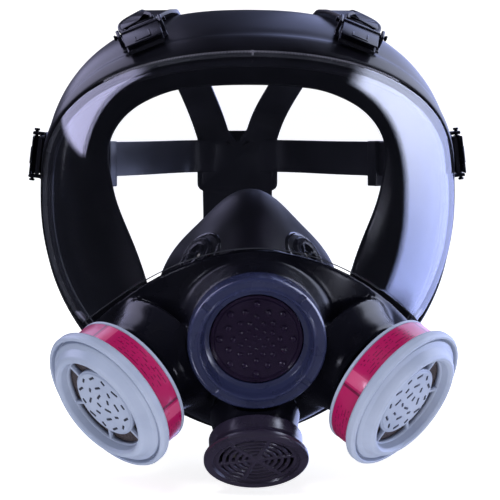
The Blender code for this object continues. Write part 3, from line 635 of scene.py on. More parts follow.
def add_turned(bm, corners, place, ease=0.0003, steps=96):
    """Adds a profile of (radius, height) corners, spun about a place's own axis."""
    lathe = bmesh.new()
    outline = eased(corners, ease)
    points = [lathe.verts.new((r, 0, z)) for r, z in outline]
    closes = not (outline[0].x == 0 and outline[-1].x == 0)
    ends = points[1:] + points[:1] if closes else points[1:]
    edges = [lathe.edges.new(pair) for pair in zip(points, ends)]
    bmesh.ops.spin(lathe, geom=points + edges, cent=(0, 0, 0), axis=(0, 0, 1), steps=steps,
                   angle=math.tau, use_merge=True)
    outward(lathe)
    bmesh.ops.transform(lathe, matrix=place, verts=lathe.verts)
    scrap = bpy.data.meshes.new("scrap")
    lathe.to_mesh(scrap)
    lathe.free()
    bm.from_mesh(scrap)
    bpy.data.meshes.remove(scrap)
    return bm


def turned(corners, place, ease=0.0003, steps=96):
    return add_turned(bmesh.new(), corners, place, ease, steps)


def cutter(name, bm):
    """A hidden body that another is cut with."""
    made = piece(name, bm, [], None)
    made.hide_render = True
    made.display_type = "WIRE"
    return made


def carve(target, *cutters):
    """Cuts each body out of the target and throws the bodies away."""
    for one in cutters:
        cut = target.modifiers.new(one.name, "BOOLEAN")
        cut.operation = "DIFFERENCE"
        cut.solver = "EXACT"
        cut.object = one
    settle(target)
    for one in cutters:
        bpy.data.objects.remove(one)


def front_at(inset):
    def point(u, v):
        side = 2 * u - 1
        phi = math.pi - side * (math.pi - LENS_CORNER_PHI * 1.035)
        low = front_edge(phi, EDGE_GAP * 3)
        top_x = side * LENS_CORNER_X * 0.975
        top_z = lens_low_z(top_x) - 0.0006 - 0.004 * abs(side) ** 6
        return on_dome(blend(top_x, low.x, v), blend(top_z, low.z, v), inset)
    return point


BLACK = moulded("black_moulding", (0.002, 0.002, 0.004), (0.005, 0.005, 0.009), (0.20, 0.30), 1500, 0.02,
                coat=0.04, coat_rough=0.12, shine=0.13)

front_mesh = thick_sheet(front_at(0.0), front_at(FRONT_WALL), 110, 48)
add_turned(front_mesh, [
    (0, COLLAR_FRONT), (SPEECH_R - 0.0006, COLLAR_FRONT), (SPEECH_R + 0.0010, -0.0175),
    (SPEECH_R + 0.0030, -0.0235), (SPEECH_R + 0.0075, -0.0300), (0.0265, -0.0300), (0.0265, -0.0340),
    (0, -0.0340),
], speech_place, 0.001)
add_turned(front_mesh, [
    (0, -0.007), (OUTLET_NECK_R, -0.007), (OUTLET_NECK_R, -0.016), (OUTLET_NECK_R + 0.0008, -0.022),
    (OUTLET_NECK_R + 0.0020, -0.028), (OUTLET_NECK_R - 0.003, -0.0365), (0, -0.0365),
], outlet_place, 0.001)
for name, place in inlet_places.items():
    add_turned(front_mesh, [
        (0, BOSS_FRONT), (BOSS_R - 0.0008, BOSS_FRONT), (BOSS_R, BOSS_FRONT - 0.0008),
        (BOSS_R + 0.0004, -0.0310), (BOSS_R + 0.0022, -0.0375), (BOSS_R + 0.0060, -0.0440),
        (BOSS_R - 0.001, -0.0470), (0, -0.0470),
    ], place, 0.0008)
front = piece("front_moulding", front_mesh, BLACK, "facepiece", "front_housing", slot="black_moulding",
              sharp=50)
fuse = front.modifiers.new("fuse", "REMESH")
fuse.mode = "VOXEL"
fuse.voxel_size = 0.0009
fillet = front.modifiers.new("fillet", "SMOOTH")
fillet.factor = 0.5
fillet.iterations = 14
settle(front)
bores = [cutter("voice_bore", turned([
    (0, 0.005), (SPEECH_R + 0.0012, 0.005), (SPEECH_R + 0.0012, COLLAR_FRONT), (0.0245, COLLAR_FRONT),
    (0.0245, COLLAR_FRONT - 0.0046), (0.020, COLLAR_FRONT - 0.0046), (0.020, -0.048), (0, -0.048),
], speech_place, 0.0))]
bores.append(cutter("outlet_bore", turned([
    (0, 0.010), (0.0183, 0.010), (0.0183, -0.0165), (0.012, -0.0165), (0.012, -0.053), (0, -0.053),
], outlet_place, 0.0)))
for name, place in inlet_places.items():
    bores.append(cutter("inlet_bore_" + name, turned([
        (0, BOSS_FRONT + 0.01), (BARREL_R + 0.0004, BOSS_FRONT + 0.01), (BARREL_R + 0.0004, -0.060),
        (0, -0.060),
    ], place, 0.0)))
carve(front, *bores)
front.data.set_sharp_from_angle(angle=math.radians(50))


# Nose cup: a soft oval cup of black silicone rubber inside the mask, gripped between the voice and
# outlet ports in front and resting round the nose and mouth behind. Two round valves let air in.

CUP_WALL = 0.002
CUP_REAR_R = 0.050
CUP_REAR_Z = -0.033
CUP_MIDDLE_Z = -0.040
CUP_VALVE_R = 0.010
CUP_VALVE_AT = Vector((0.02641, -0.04694, -0.00382))
CUP_VALVE_OUT = Vector((0.6876, -0.4714, 0.5522))
CUP_AROUND = 128
CUP_ALONG = 26


def cup_point(angle, share, inset):
    front_z = -0.047 + 0.035 * math.sin(angle)
    near = Vector((0.028 * math.cos(angle), -0.070 - 0.22 * (front_z + 0.047), front_z))
    peak = math.exp(-(((math.degrees(angle) - 90 + 180) % 360 - 180) / 22) ** 2)
    radius = CUP_REAR_R + 0.0130 * peak
    far = Vector((radius * math.cos(angle), -0.006 - 0.014 * peak, CUP_REAR_Z + radius * math.sin(angle)))
    bulge = 1 + 0.20 * math.sin(math.pi * share) * (0.5 + 0.5 * math.sin(angle))
    point = blend(near, far, share)
    shrink = 1 - inset / max(0.03, math.hypot(point.x, point.z - CUP_MIDDLE_Z))
    return Vector((point.x * bulge * shrink, point.y,
                   CUP_MIDDLE_Z + (point.z - CUP_MIDDLE_Z) * bulge * shrink))


def raised(point):
    """Lifts the cup into a soft rounded boss round each valve."""
    for _, side in SIDES:
        centre = on_side(CUP_VALVE_AT, side)
        out = on_side(CUP_VALVE_OUT, side)
        apart = point - centre
        flat = (apart - out * apart.dot(out)).length
        lift = max(0.0, 1 - (flat / 0.0185) ** 2)
        point = point + out * 0.0022 * lift**1.5
    return point


def cup_loop(u, v):
    """Goes out along the outer wall and comes back along the inner one."""
    turn = 2 * (CUP_ALONG + 1)
    step = round(v * turn) % turn
    outside = step <= CUP_ALONG
    share = step / CUP_ALONG if outside else (turn - 1 - step) / CUP_ALONG
    return raised(cup_point(math.tau * u, share, 0.0 if outside else CUP_WALL))


CUP_RUBBER = moulded("cup_rubber", (0.002, 0.002, 0.003), (0.004, 0.003, 0.007), (0.40, 0.52), 1900, 0.04,
                     shine=0.10)
cup_mesh = bmesh.new()
grid_sheet(cup_mesh, cup_loop, CUP_AROUND, 2 * (CUP_ALONG + 1))
cup = piece("nose_cup_moulding", outward(cup_mesh), CUP_RUBBER, "facepiece", "nose_cup",
            slot="black_rubber", sharp=60)
cup_places = {
    name: aim_place(on_side(CUP_VALVE_AT, side), on_side(CUP_VALVE_OUT, side)) for name, side in SIDES
}
HOLE_OUTLINE = [(0, 0.014), (0.0075, 0.014), (0.0075, -0.012), (0, -0.012)]
carve(cup, *[
    cutter("cup_hole_" + name, turned(HOLE_OUTLINE, place, 0.0, 48)) for name, place in cup_places.items()
])


def add_windows(bm, place, count, inner, outer, bar, top, bottom, turn=0.0, steps=10):
    """Adds sector blocks between two radii, which leave straight bars of width bar when cut out."""
    half = math.pi / count
    for i in range(count):
        middle = math.tau * (i + 0.5) / count + turn
        corners = []
        for radius, order in ((inner, 1), (outer, -1)):
            free = half - math.asin(min(bar / 2 / radius, 0.9))
            for j in range(steps + 1):
                angle = middle + order * blend(-free, free, j / steps)
                corner = Vector((radius * math.cos(angle), radius * math.sin(angle), top))
                corners.append(bm.verts.new(place @ corner))
        face = bm.faces.new(corners)
        block = bmesh.ops.extrude_face_region(bm, geom=[face])
        moved = [v for v in block["geom"] if isinstance(v, bmesh.types.BMVert)]
        down = place.to_3x3() @ Vector((0, 0, bottom - top))
        bmesh.ops.translate(bm, verts=moved, vec=down)
    bmesh.ops.recalc_face_normals(bm, faces=bm.faces)
    return bm


BEAD = moulded("cup_bead", (0.003, 0.003, 0.005), (0.006, 0.006, 0.010), (0.12, 0.20), 1500, 0.01, 0.5, 0.10)
for name, place in cup_places.items():
    seat = piece("cup_valve_ring_" + name, turned([
        (0.0014, 0.0024), (0.0060, 0.0040), (CUP_VALVE_R - 0.0012, 0.0044), (CUP_VALVE_R, 0.0034),
        (CUP_VALVE_R, 0.0022), (0.0071, 0.0022), (0.0071, -0.0024), (0.0014, -0.0024),
    ], place, 0.0005, 64), BLACK, "facepiece", "cup_valve_seat_" + name, slot="black_moulding")
    windows = add_windows(bmesh.new(), place, 4, 0.0028, 0.0056, 0.0014, 0.006, -0.005)
    carve(seat, cutter("cup_windows_" + name, windows))
    piece("cup_bead_" + name, turned([
        (0.0112, -0.0010), (0.0118, 0.0014), (0.0131, 0.0022), (0.0144, 0.0012), (0.0150, -0.0012),
    ], place, 0.0006, 72), BEAD, "facepiece", slot="black_rubber")


# Voice port: a slate ring screwed to the collar holds a shallow cover, which is moulded with rows
# of small round pips over its holes, on a thin film. Four short slots take the pin spanner.

SLATE = moulded("slate_moulding", (0.014, 0.017, 0.050), (0.023, 0.028, 0.078), (0.22, 0.32), 2200, 0.03,
                coat=0.3, coat_rough=0.15)
PIP_RINGS = ((0.0183, 0.00195), (0.0149, 0.0018), (0.0115, 0.0016), (0.0085, 0.0014), (0.0052, 0.0011))
PIPS = 8


def add_box(bm, size, place, ease=0.0, segments=3):
    """Adds a box of full size (x, y, z) at a place, with rounded edges."""
    made = bmesh.ops.create_cube(bm, size=1, matrix=place @ Matrix.Diagonal((*size, 1)))["verts"]
    if ease:
        edges = list({edge for vert in made for edge in vert.link_edges})
        bmesh.ops.bevel(bm, geom=edges, offset=ease, affect="EDGES", segments=segments, profile=0.5,
                        material=-1)
    return bm


def shift(x, y, z):
    return Matrix.Translation((x, y, z))


def spin(degrees):
    return Matrix.Rotation(math.radians(degrees), 4, "Z")


ring = piece("voice_ring", turned([
    (SPEECH_DISC_R + 0.0006, -SPEECH_RING_THICK), (SPEECH_R, -SPEECH_RING_THICK), (SPEECH_R, -0.0016),
    (SPEECH_R - 0.0010, -0.0002), (SPEECH_R - 0.0020, -0.0007), (0.0296, -0.0007), (0.0290, 0), (0.0282, 0),
    (0.0277, -0.0010), (0.0272, -0.0050), (SPEECH_DISC_R + 0.0030, -SPEECH_DEPTH + 0.0014),
    (SPEECH_DISC_R + 0.0012, -SPEECH_DEPTH + 0.0007), (SPEECH_DISC_R + 0.0006, -SPEECH_DEPTH + 0.0006),
], speech_place, 0.0004, 128), SLATE, "speech_ring", "speech_ring", slot="slate_moulding")
slots = bmesh.new()
for turn in (48, 142, 228, 321):
    add_box(slots, (0.0042, 0.003, 0.0024), speech_place @ spin(turn) @ shift(0.0315, 0, 0), 0.0004)
carve(ring, cutter("spanner_slots", slots))

DISC = moulded("dark_cover", (0.008, 0.004, 0.014), (0.014, 0.008, 0.024), (0.13, 0.20), 2400, 0.02,
               coat=0.5, coat_rough=0.08)
disc_mesh = turned([
    (0, -SPEECH_DEPTH), (0.0205, -SPEECH_DEPTH), (0.0212, -SPEECH_DEPTH - 0.0006),
    (0.0219, -SPEECH_DEPTH - 0.0006), (SPEECH_DISC_R - 0.0004, -SPEECH_DEPTH + 0.0002),
    (SPEECH_DISC_R, -SPEECH_DEPTH), (SPEECH_DISC_R, COLLAR_FRONT), (SPEECH_DISC_R + 0.0013, COLLAR_FRONT),
    (SPEECH_DISC_R + 0.0013, COLLAR_FRONT - 0.001), (0, COLLAR_FRONT - 0.001),
], speech_place, 0.0002)
for row, (radius, size) in enumerate(PIP_RINGS):
    for i in range(PIPS):
        where = speech_place @ spin(360 / PIPS * (i + row % 2 / 2)) @ shift(radius, 0, -SPEECH_DEPTH)
        dome = Matrix.Diagonal((size, size, size * 0.80, 1))
        bmesh.ops.create_uvsphere(disc_mesh, u_segments=16, v_segments=8, radius=1, matrix=where @ dome)
for turn in (0, 120, 240):
    where = speech_place @ spin(turn) @ shift(0.0017, 0, -SPEECH_DEPTH)
    bmesh.ops.create_uvsphere(disc_mesh, u_segments=12, v_segments=6, radius=0.0009, matrix=where)
piece("voice_cover", disc_mesh, DISC, "facepiece", "speech_cover", slot="slate_moulding")


# Outlet port: a dark rubber cap pushed over the neck. Its grille of six spokes, between five rings of
# slots, keeps fingers off the exhalation valve behind it. The cap's two tones are lifted well above the
# other black rubber: its own dark rubber colour plus a painted sheen for the light on its ribs.

GRILLE_ARCS = ((0.0042, 0.0058), (0.0074, 0.0090), (0.0106, 0.0122), (0.0138, 0.0154), (0.0170, 0.0186))
# Dark rubber whose tones are lifted as a painted sheen on the grille's ribs.
CAP_WITH_PAINTED_SHEEN = moulded("cap_rubber_and_painted_sheen", (0.014, 0.011, 0.023), (0.024, 0.019, 0.038), (0.24, 0.34), 2400, 0.03,
              coat=0.2, coat_rough=0.15)
cap = piece("outlet_cap", turned([
    (0, -0.0012), (0.0200, -0.0012), (0.0206, -0.0016), (0.0214, -0.0016), (0.0219, 0),
    (OUTLET_R - 0.0010, 0), (OUTLET_R, -0.0010), (OUTLET_R, -0.0030), (0.0240, -0.0044), (0.0233, -0.0070),
    (0.0235, -0.0135),
    (OUTLET_NECK_R + 0.0004, -0.0135), (OUTLET_NECK_R + 0.0004, -0.0036), (0, -0.0036),
], outlet_place, 0.0004, 112), CAP_WITH_PAINTED_SHEEN, "exhalation_cover", "exhalation_cover", slot="black_moulding")
arcs = bmesh.new()
for inner, outer in GRILLE_ARCS:
    add_windows(arcs, outlet_place, 6, inner, outer, 0.0022, 0.004, -0.006, math.radians(12))
carve(cap, cutter("grille_arcs", arcs))


# Cartridges: a grey plastic can with a paper label band, a filter pack inside, and a clipped-on grey
# face with a raised ring, six spokes and a hub disc that carries small dark dashes. The dashes stand
# for short slots in the hub: their dark is partly the filter's own tone behind them and partly painted
# shade in the slots. Two lugs on the can's spigot lock it to the inlet with a short turn.

GREY = moulded("grey_plastic", (0.285, 0.330, 0.455), (0.345, 0.390, 0.520), (0.36, 0.46), 1800, 0.05,
               shine=0.3)
# The dashes' colour: near the filter's dark tone, with painted shade for the slots they stand for.
SLOT_TONE_AND_SHADE = moulded("face_slot_tone_and_shade", (0.020, 0.022, 0.034), (0.036, 0.040, 0.060), (0.35, 0.5), 1800, 0.03)
FIBRE_DARK = (0.022, 0.015, 0.020)
FIBRE_PALE = (0.11, 0.09, 0.10)
CARTRIDGE_R = 0.0389
FACE_RING_R = 0.0257
HUB_R = 0.0188
HUB_DASHES = ((0.0152, 12), (0.0096, 8), (0.0042, 4))
LABEL_TOP = -0.0062
LABEL_FOOT = -0.0176
LABEL_ROWS = 7.0
LABEL_BLOCKS = 4.0
LABEL_GROUND = (0.36, 0.004, 0.085, 1)
LABEL_PATCH = (0.50, 0.06, 0.17, 1)
LABEL_INK = (0.13, 0.002, 0.035, 1)


def filter_pack():
    """Matted fibres in two dull tones."""
    made, tree, shader = new_finish("filter_medium")
    where = add_node(tree, "TexCoord", {}).outputs["Object"]
    fibres = add_node(tree, "TexNoise", {
        "Vector": where, "Scale": 900.0, "Detail": 5.0, "Distortion": 1.5,
    }).outputs["Fac"]
    bump = add_node(tree, "Bump", {"Height": fibres, "Distance": 0.0004})
    fill(tree, shader, {
        "Base Color": two_tones(tree, fibres, 0.3, FIBRE_DARK, 0.7, FIBRE_PALE),
        "Normal": bump.outputs["Normal"], "Roughness": 0.9,
    })
    return made


def label_print():
    """A glossy magenta label with rows of short dark bars, a lighter patch and a dark stripe.

    It reads the band's own map: U once round the can and V across the band.
    """
    made, tree, shader = new_finish("label_band")
    where = add_node(tree, "TexCoord", {}).outputs
    around, across, _ = add_node(tree, "SeparateXYZ", {"Vector": where["UV"]}).outputs

    def both(a, b):
        return math_node(tree, "MULTIPLY", a, b)

    def between(value, low, high):
        return both(math_node(tree, "GREATER_THAN", value, low), math_node(tree, "LESS_THAN", value, high))

    row = math_node(tree, "FRACT", both(across, LABEL_ROWS))
    block = math_node(tree, "FRACT", both(around, LABEL_BLOCKS))
    stretch = add_node(tree, "Mapping", {"Vector": where["UV"], "Scale": (150.0, LABEL_ROWS, 1.0)})
    scatter = add_node(tree, "TexNoise", {
        "Vector": stretch.outputs["Vector"], "Scale": 1.0, "Detail": 0.0,
    }, noise_dimensions="2D").outputs["Fac"]
    bars = both(between(row, 0.30, 0.62), math_node(tree, "GREATER_THAN", scatter, 0.5))
    printed = both(both(bars, between(block, 0.12, 0.72)), between(across, 0.1, 0.9))
    ground = mix_node(tree, between(block, 0.78, 0.90), LABEL_GROUND, LABEL_PATCH)
    inked = math_node(tree, "MAXIMUM", printed, between(block, 0.92, 0.945))
    wear = add_node(tree, "TexNoise", {"Vector": where["Object"], "Scale": 220.0}).outputs["Fac"]
    gloss = add_node(tree, "MapRange", {"Value": wear, "To Min": 0.22, "To Max": 0.40})
    fill(tree, shader, {
        "Base Color": mix_node(tree, inked, ground, LABEL_INK), "Roughness": gloss.outputs["Result"],
        "Coat Weight": 0.2,
    })
    return made


PACK = filter_pack()
LABEL = label_print()


def map_round(bm, place, low, high):
    """Gives a turned band a map: U once round it and V from low to high along its axis."""
    layer = bm.loops.layers.uv.new("UVMap")
    back = place.inverted()
    for face in bm.faces:
        turns = []
        for loop in face.loops:
            spot = back @ loop.vert.co
            turns.append(math.atan2(spot.y, spot.x) / math.tau + 0.5)
        wrap = max(turns) - min(turns) > 0.5
        for loop, turn in zip(face.loops, turns):
            spot = back @ loop.vert.co
            loop[layer].uv = (turn + 1 if wrap and turn < 0.5 else turn, (spot.z - low) / (high - low))
    return bm


for name, place in inlet_places.items():
    body = "cartridge_" + name
    face = piece("cartridge_face_" + name, turned([
        (0, 0.0010), (HUB_R - 0.0012, 0.0010), (HUB_R - 0.0004, 0.0002), (FACE_RING_R - 0.0002, 0.0002),
        (FACE_RING_R + 0.0004, 0.0040), (0.0272, 0.0054), (0.0288, 0.0054), (0.0302, 0.0044),
        (0.0325, 0.0008), (0.0350, -0.0004), (0.0355, -0.0026), (0.0361, -0.0026), (0.0366, 0.0002),
        (CARTRIDGE_R - 0.0010, 0.0002), (CARTRIDGE_R, -0.0012), (CARTRIDGE_R, -0.0042),
        (CARTRIDGE_R - 0.0010, -0.0055), (CAN_R - 0.0015, -0.0055), (CAN_R - 0.0015, -0.0022), (0, -0.0022),
    ], place, 0.0004, 128), GREY, body, "cartridge_cover_" + name, slot="grey_plastic")
    openings = add_windows(bmesh.new(), place, 6, HUB_R, FACE_RING_R - 0.0006, 0.0015, 0.006, -0.006,
                           math.radians(8))
    carve(face, cutter("face_windows_" + name, openings))
    # Dark blocks that stand for short slots in the hub: the filter's dark tone with painted shade.
    marks = bmesh.new()
    for radius, count in HUB_DASHES:
        for i in range(count):
            where = place @ spin(360 / count * i + radius * 4000) @ shift(radius, 0, 0.0010)
            long = 0.0042 if i % 2 else 0.0028
            add_box(marks, (0.0012, long, 0.0006), where @ spin(20 if i % 3 else -35), 0.0002, 2)
    piece("face_marks_" + name, marks, SLOT_TONE_AND_SHADE, body, slot="grey_plastic")
    piece("cartridge_can_" + name, turned([
        (CAN_R - 0.0016, -0.0058), (CAN_R, -0.0058), (CAN_R, -0.0178), (CAN_R + 0.0008, -0.0181),
        (CAN_R + 0.0008, -CAN_DEPTH + 0.0003), (CAN_R - 0.0006, -CAN_DEPTH), (0.0235, -CAN_DEPTH),
        (0.0150, -CAN_DEPTH), (0.0150, -0.0310), (0.0130, -0.0310), (0.0130, 0.0015 - CAN_DEPTH),
        (CAN_R - 0.0016, 0.0015 - CAN_DEPTH),
    ], place, 0.0004), GREY, body, "cartridge_body_" + name, slot="grey_plastic")
    lugs = bmesh.new()
    for turn in (0, 180):
        add_box(lugs, (0.0026, 0.006, 0.002), place @ spin(turn) @ shift(0.0153, 0, -0.0285), 0.0003, 2)
    piece("cartridge_lugs_" + name, lugs, GREY, body, slot="grey_plastic")
    band = turned([
        (CAN_R + 0.0003, LABEL_TOP), (CAN_R + 0.0006, LABEL_TOP), (CAN_R + 0.0006, LABEL_FOOT),
        (CAN_R + 0.0003, LABEL_FOOT),
    ], place, 0.00008, 128)
    piece("cartridge_band_" + name, map_round(band, place, LABEL_FOOT, LABEL_TOP), LABEL, body,
          "cartridge_label_" + name, slot="label_band")
    piece("cartridge_pack_" + name, turned([
        (0, -0.0026), (0.0300, -0.0026), (0.0326, -0.0032), (0.0326, -0.0160), (0, -0.0160),
    ], place, 0.0004), PACK, body, "cartridge_filter_" + name, slot="filter_medium")


# Head harness: one rubber moulding, with a pad at the back of the head and six straps. Each strap
# has a thick edge on both sides, and fine teeth near its end for the buckle to grip.

STRAP_WALL = 0.0018
STRAP_WIDTH = 0.020
PAD_Y = 0.170
PAD_Z = 0.040
PAD_WIDTH = 0.050
PAD_HEIGHT = 0.042
PAD_WALL = 0.0034
BUCKLE_FLOOR = 0.0012
STRAP_CLEAR = STRAP_WIDTH * 0.02
BACK = Vector((0, 1, 0))
BUCKLE_SPOTS = {"top": (math.radians(33), -0.027), "temple": (math.radians(78), 0.0145),
                "jaw": (math.radians(135), 0.001)}
STRAP_HEIGHT = BUCKLE_FLOOR + STRAP_CLEAR + STRAP_WALL / 2
STRAP_STEPS = 260
TOOTH_PITCH = 0.0022
TOOTH_REACH = 0.050
TOOTH_RISE = 0.22
TOOTH_HALF = 0.38
STRAP_EDGE = [(0.500, 0.36), (0.494, 0.58), (0.475, 0.66), (0.440, 0.66), (0.415, 0.56), (TOOTH_HALF, 0.44)]
STRAP_SECTION = STRAP_EDGE + [(-x, z) for x, z in reversed(STRAP_EDGE)] + [
    (-0.500, -0.36), (-0.485, -0.50), (0.485, -0.50), (0.500, -0.36),
]
STRAP_POINTS = {
    "top": (
        (0.0495, 0.004, 0.1235), (0.0455, 0.028, 0.1210), (0.0345, 0.085, 0.0985),
        (0.0205, PAD_Y - 0.012, PAD_Z + 0.028), (0.0130, PAD_Y, PAD_Z + 0.006),
    ),
    "temple": (
        (0.098, 0.045, 0.043), (0.065, 0.105, 0.041), (0.034, PAD_Y - 0.010, PAD_Z), (0.012, PAD_Y, PAD_Z),
    ),
    "jaw": (
        (0.076, 0.060, -0.064), (0.042, 0.125, -0.060), (0.0145, PAD_Y - 0.006, -0.020),
        (0.0115, PAD_Y, PAD_Z - 0.012),
    ),
}
STRAP_LOOKS = {
    "top": ((0, 0.1, 1), (0, 0.3, 1), (0, 0.5, 0.9), (0, 0.8, 0.5), (0, 1, 0)),
    "temple": ((1, 0.4, 0), (1, 0.6, 0), (0.5, 1, 0), (0, 1, 0)),
    "jaw": ((1, 0.3, 0), (0.7, 0.8, 0), (0, 1, 0), (0, 1, 0)),
}


def buckle_frame(kind, side):
    """Place of a buckle: +Y along the strap towards the back of the head and +Z away from the mask."""
    phi, y = BUCKLE_SPOTS[kind]
    at = rim_point(phi, y)
    out = dome_normal(Vector((at.x, min(y, -0.0008), at.z)))
    along = (BACK - out * BACK.dot(out)).normalized()
    at = on_side(at + out * 0.0006, side)
    out = on_side(out, side)
    along = on_side(along, side)
    return frame_at(at, along.cross(out), along, out)


def on_curve(points, t):
    """A point of the smooth curve through a list of vectors, at a share t of its spans."""
    padded = [points[0] * 2 - points[1]] + points + [points[-1] * 2 - points[-2]]
    place = min(t, 0.999999) * (len(points) - 1)
    i = int(place)
    t = place - i
    a, b, c, d = padded[i:i + 4]
    return 0.5 * (2 * b + (c - a) * t + (2 * a - 5 * b + 4 * c - d) * t**2 + (3 * b - a - 3 * c + d) * t**3)


def strap_route(kind, side):
    """The points that a strap passes through, and the way that its flat side looks at each."""
    place = buckle_frame(kind, side)
    here = place @ Vector((0, 0, STRAP_HEIGHT))
    along = place.to_3x3() @ BACK
    out = place.to_3x3() @ Vector((0, 0, 1))
    path = [here - along * 0.016, here, here + along * 0.0105, here + along * 0.0145]
    path += [on_side(Vector(point), side) for point in STRAP_POINTS[kind]]
    return path, [out] * 4 + [on_side(Vector(look), side) for look in STRAP_LOOKS[kind]]


def strap_mesh(path, looks):
    """The strap's section carried along its route, with fine teeth on its outer side near the buckle."""
    rings = []
    travelled = 0.0
    before = None
    for i in range(STRAP_STEPS + 1):
        t = i / STRAP_STEPS
        centre = on_curve(path, t)
        ahead = on_curve(path, min(t + 0.004, 1)) - on_curve(path, max(t - 0.004, 0))
        across = ahead.cross(on_curve(looks, t)).normalized()
        out = across.cross(ahead).normalized()
        travelled += (centre - before).length if before else 0.0
        before = centre
        on_tooth = travelled < TOOTH_REACH and travelled % TOOTH_PITCH < TOOTH_PITCH / 2
        ring = []
        for x, z in STRAP_SECTION:
            rise = TOOTH_RISE if on_tooth and abs(x) <= TOOTH_HALF and z > 0 else 0.0
            ring.append(centre + across * STRAP_WIDTH * x + out * STRAP_WALL * (z + rise))
        rings.append(ring)
    count = len(STRAP_SECTION)
    bm = bmesh.new()
    grid_sheet(bm, lambda u, v: rings[round(u * STRAP_STEPS)][round(v * count) % count], STRAP_STEPS, count)
    bmesh.ops.remove_doubles(bm, verts=bm.verts, dist=1e-6)
    bmesh.ops.holes_fill(bm, edges=[edge for edge in bm.edges if edge.is_boundary], sides=count)
    return outward(bm)


half_w, half_h = PAD_WIDTH / 2, PAD_HEIGHT / 2
pad_outline = [
    (-half_w, half_h - 0.002), (-half_w * 0.35, half_h), (0, half_h * 0.35), (half_w * 0.35, half_h),
    (half_w, half_h - 0.002), (half_w, -half_h), (half_w * 0.3, -half_h - 0.004),
    (-half_w * 0.3, -half_h - 0.004), (-half_w, -half_h),
]
pad_mesh = bmesh.new()
# eased leaves a corner at x = 0 sharp, so the outline is eased a metre aside of its place.
pad_corners = eased([Vector(corner) + Vector((1, 0)) for corner in pad_outline], 0.004, 5)
pad_verts = [pad_mesh.verts.new((p.x - 1, PAD_Y - PAD_WALL / 2, PAD_Z + p.y)) for p in pad_corners]
pad_block = bmesh.ops.extrude_face_region(pad_mesh, geom=[pad_mesh.faces.new(pad_verts)])
pad_back = [v for v in pad_block["geom"] if isinstance(v, bmesh.types.BMVert)]
bmesh.ops.translate(pad_mesh, verts=pad_back, vec=(0, PAD_WALL, 0))
bmesh.ops.recalc_face_normals(pad_mesh, faces=pad_mesh.faces)
flats = [face for face in pad_mesh.faces if len(face.verts) > 4]
for inset, sink in ((0.0009, 0.0004), (0.0022, 0.0), (0.0006, -0.0006)):
    bmesh.ops.inset_region(pad_mesh, faces=flats, thickness=inset, depth=sink, use_even_offset=True)
piece("harness_pad", outward(pad_mesh), RUBBER, "facepiece", "head_harness", slot="black_rubber", sharp=45)
for side_name, side in SIDES:
    for kind in BUCKLE_SPOTS:
        path, looks = strap_route(kind, side)
        piece(f"strap_{kind}_{side_name}", strap_mesh(path, looks), RUBBER, "facepiece",
              slot="black_rubber", sharp=30)


# Strap keepers: a square rubber loop slipped over each temple strap, to hold its free end down.

KEEPER_SHARE = 4.63 / 7
KEEPER_STEP = 0.004
KEEPER_LENGTH = 0.0085
KEEPER_WALL = 0.0015
KEEPER_RISE = 0.0027
KEEPER_TALL = STRAP_WIDTH + 0.0032
KEEPER_THICK = STRAP_WALL * 2.4

for side_name, side in SIDES:
    path, looks = strap_route("temple", side)
    ahead = on_curve(path, KEEPER_SHARE + KEEPER_STEP) - on_curve(path, KEEPER_SHARE - KEEPER_STEP)
    along = ahead.normalized()
    look = on_curve(looks, KEEPER_SHARE)
    out = (look - along * along.dot(look)).normalized()
    up = along.cross(out) * side
    place = frame_at(on_curve(path, KEEPER_SHARE) + up * KEEPER_RISE, along, up, out)
    outer_size = (KEEPER_LENGTH, KEEPER_TALL + KEEPER_WALL * 2, KEEPER_THICK + KEEPER_WALL * 2)
    slot_size = (KEEPER_LENGTH + 0.0115, KEEPER_TALL, KEEPER_THICK)
    keeper = piece("strap_keeper_" + side_name, add_box(bmesh.new(), outer_size, place, 0.0007), RUBBER,
                   "facepiece", slot="black_rubber")
    carve(keeper, cutter("keeper_slot_" + side_name, add_box(bmesh.new(), slot_size, place)))


# Buckles: a black moulded base on the rubber at each strap end, with two ears that carry a steel
# pin. A sprung lever on the pin clamps the strap, and is lifted by its tab, which has a raised open
# outline for the thumb, to slacken it.

BUCKLE_EAR = 0.0018
BUCKLE_LENGTH = 0.018
EAR_LENGTH = 0.008
EAR_LIFT = 0.0002
PIN_R = 0.0009
PIN_HEAD_R = PIN_R + 0.0006
PIN_HEAD = 0.0012
LEVER_LENGTH = 0.0145
GRIP_LINE = 0.0011
GRIP_RISE = 0.0009
GRIP_LINES = (
    (0.0090, GRIP_LINE, 0, -0.0034), (GRIP_LINE, 0.0068, 0.0040, 0), (GRIP_LINE, 0.0040, -0.0040, -0.0014),
)
PIN_HEIGHT = STRAP_HEIGHT + STRAP_WALL / 2 + 0.0004 + PIN_R * 2
EAR_HEIGHT = PIN_HEIGHT + PIN_R * 2
EAR_IN = STRAP_WIDTH / 2 + 0.0007
EAR_OUT = EAR_IN + BUCKLE_EAR
PIN_END = EAR_OUT + 0.0018
LEVER_HALF = EAR_IN - 0.0005
TAB_Y = -LEVER_LENGTH / 2 - PIN_R * 1.33
TAB_Z = PIN_HEIGHT + PIN_R * 0.85
GRIP_Y = TAB_Y - LEVER_LENGTH * 0.12
PIN_HALF = [
    (0, PIN_END), (PIN_HEAD_R, PIN_END), (PIN_HEAD_R, PIN_END - PIN_HEAD), (PIN_R, PIN_END - PIN_HEAD),
]
PIN_OUTLINE = PIN_HALF + [(r, -z) for r, z in reversed(PIN_HALF)]
SLEEVE_OUTLINE = [
    (PIN_R + 0.0003, LEVER_HALF), (PIN_R * 2, LEVER_HALF), (PIN_R * 2, -LEVER_HALF),
    (PIN_R + 0.0003, -LEVER_HALF),
]
STEEL = moulded("pin_steel", (0.020, 0.020, 0.024), (0.032, 0.032, 0.038), (0.34, 0.46), 3000, 0.02)
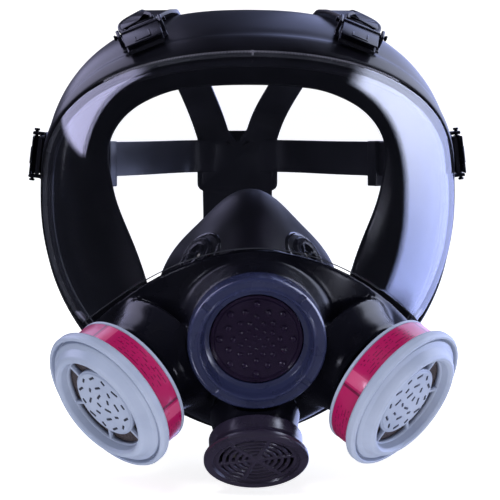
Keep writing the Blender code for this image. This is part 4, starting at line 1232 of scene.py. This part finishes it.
STEEL.node_tree.nodes["Principled BSDF"].inputs["Metallic"].default_value = 1.0

for side_name, side in SIDES:
    for kind in BUCKLE_SPOTS:
        name = kind + "_" + side_name
        place = buckle_frame(kind, side)
        floor_box = (EAR_OUT * 2, BUCKLE_LENGTH, BUCKLE_FLOOR)
        base = add_box(bmesh.new(), floor_box, place @ shift(0, 0, BUCKLE_FLOOR / 2), 0.0005)
        for ear in (1, -1):
            ear_place = place @ shift(ear * (EAR_IN + EAR_OUT) / 2, 0, EAR_HEIGHT / 2 + EAR_LIFT)
            add_box(base, (BUCKLE_EAR, EAR_LENGTH, EAR_HEIGHT), ear_place, 0.0006)
        piece("buckle_frame_" + name, base, BLACK, "facepiece", "buckle_base_" + name, slot="black_moulding")
        pin_place = place @ shift(0, 0, PIN_HEIGHT) @ Matrix.Rotation(math.pi / 2, 4, "Y")
        piece("buckle_rivet_" + name, turned(PIN_OUTLINE, pin_place, 0.0003, 32), STEEL, "facepiece",
              "buckle_pin_" + name, slot="pin_steel")
        lever = turned(SLEEVE_OUTLINE, pin_place, 0.0002, 32)
        tab_size = (LEVER_HALF * 2 - 0.0002, LEVER_LENGTH, PIN_R)
        add_box(lever, tab_size, place @ shift(0, TAB_Y, TAB_Z), 0.0004)
        for wide, long, x, y in GRIP_LINES:
            line_place = place @ shift(x, GRIP_Y + y, TAB_Z + PIN_R / 2)
            add_box(lever, (wide, long, GRIP_RISE), line_place, 0.0003, 2)
        piece("buckle_tab_" + name, lever, BLACK, "buckle_lever_" + name, "buckle_lever_" + name,
              slot="black_moulding")


# Small fittings that keep their CAD shape: seals, valves, the voice film and the inlet connectors.

SILICONE = moulded("valve_rubber", (0.16, 0.15, 0.14), (0.22, 0.21, 0.20), (0.35, 0.5), 2500, 0.04)
FILM = moulded("voice_film", (0.42, 0.34, 0.16), (0.55, 0.46, 0.24), (0.15, 0.28), 500, 0.02)
KEPT = {
    "speech_diaphragm": FILM, "speech_gasket": SILICONE, "exhalation_seat": BLACK,
    "exhalation_valve": SILICONE,
}
for name, _ in SIDES:
    KEPT["inlet_connector_" + name] = BLACK
    for kind in ("inlet_gasket_", "inhalation_valve_", "cup_valve_"):
        KEPT[kind + name] = SILICONE
for name, finish in KEPT.items():
    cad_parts[name].material_slots[0].material = finish
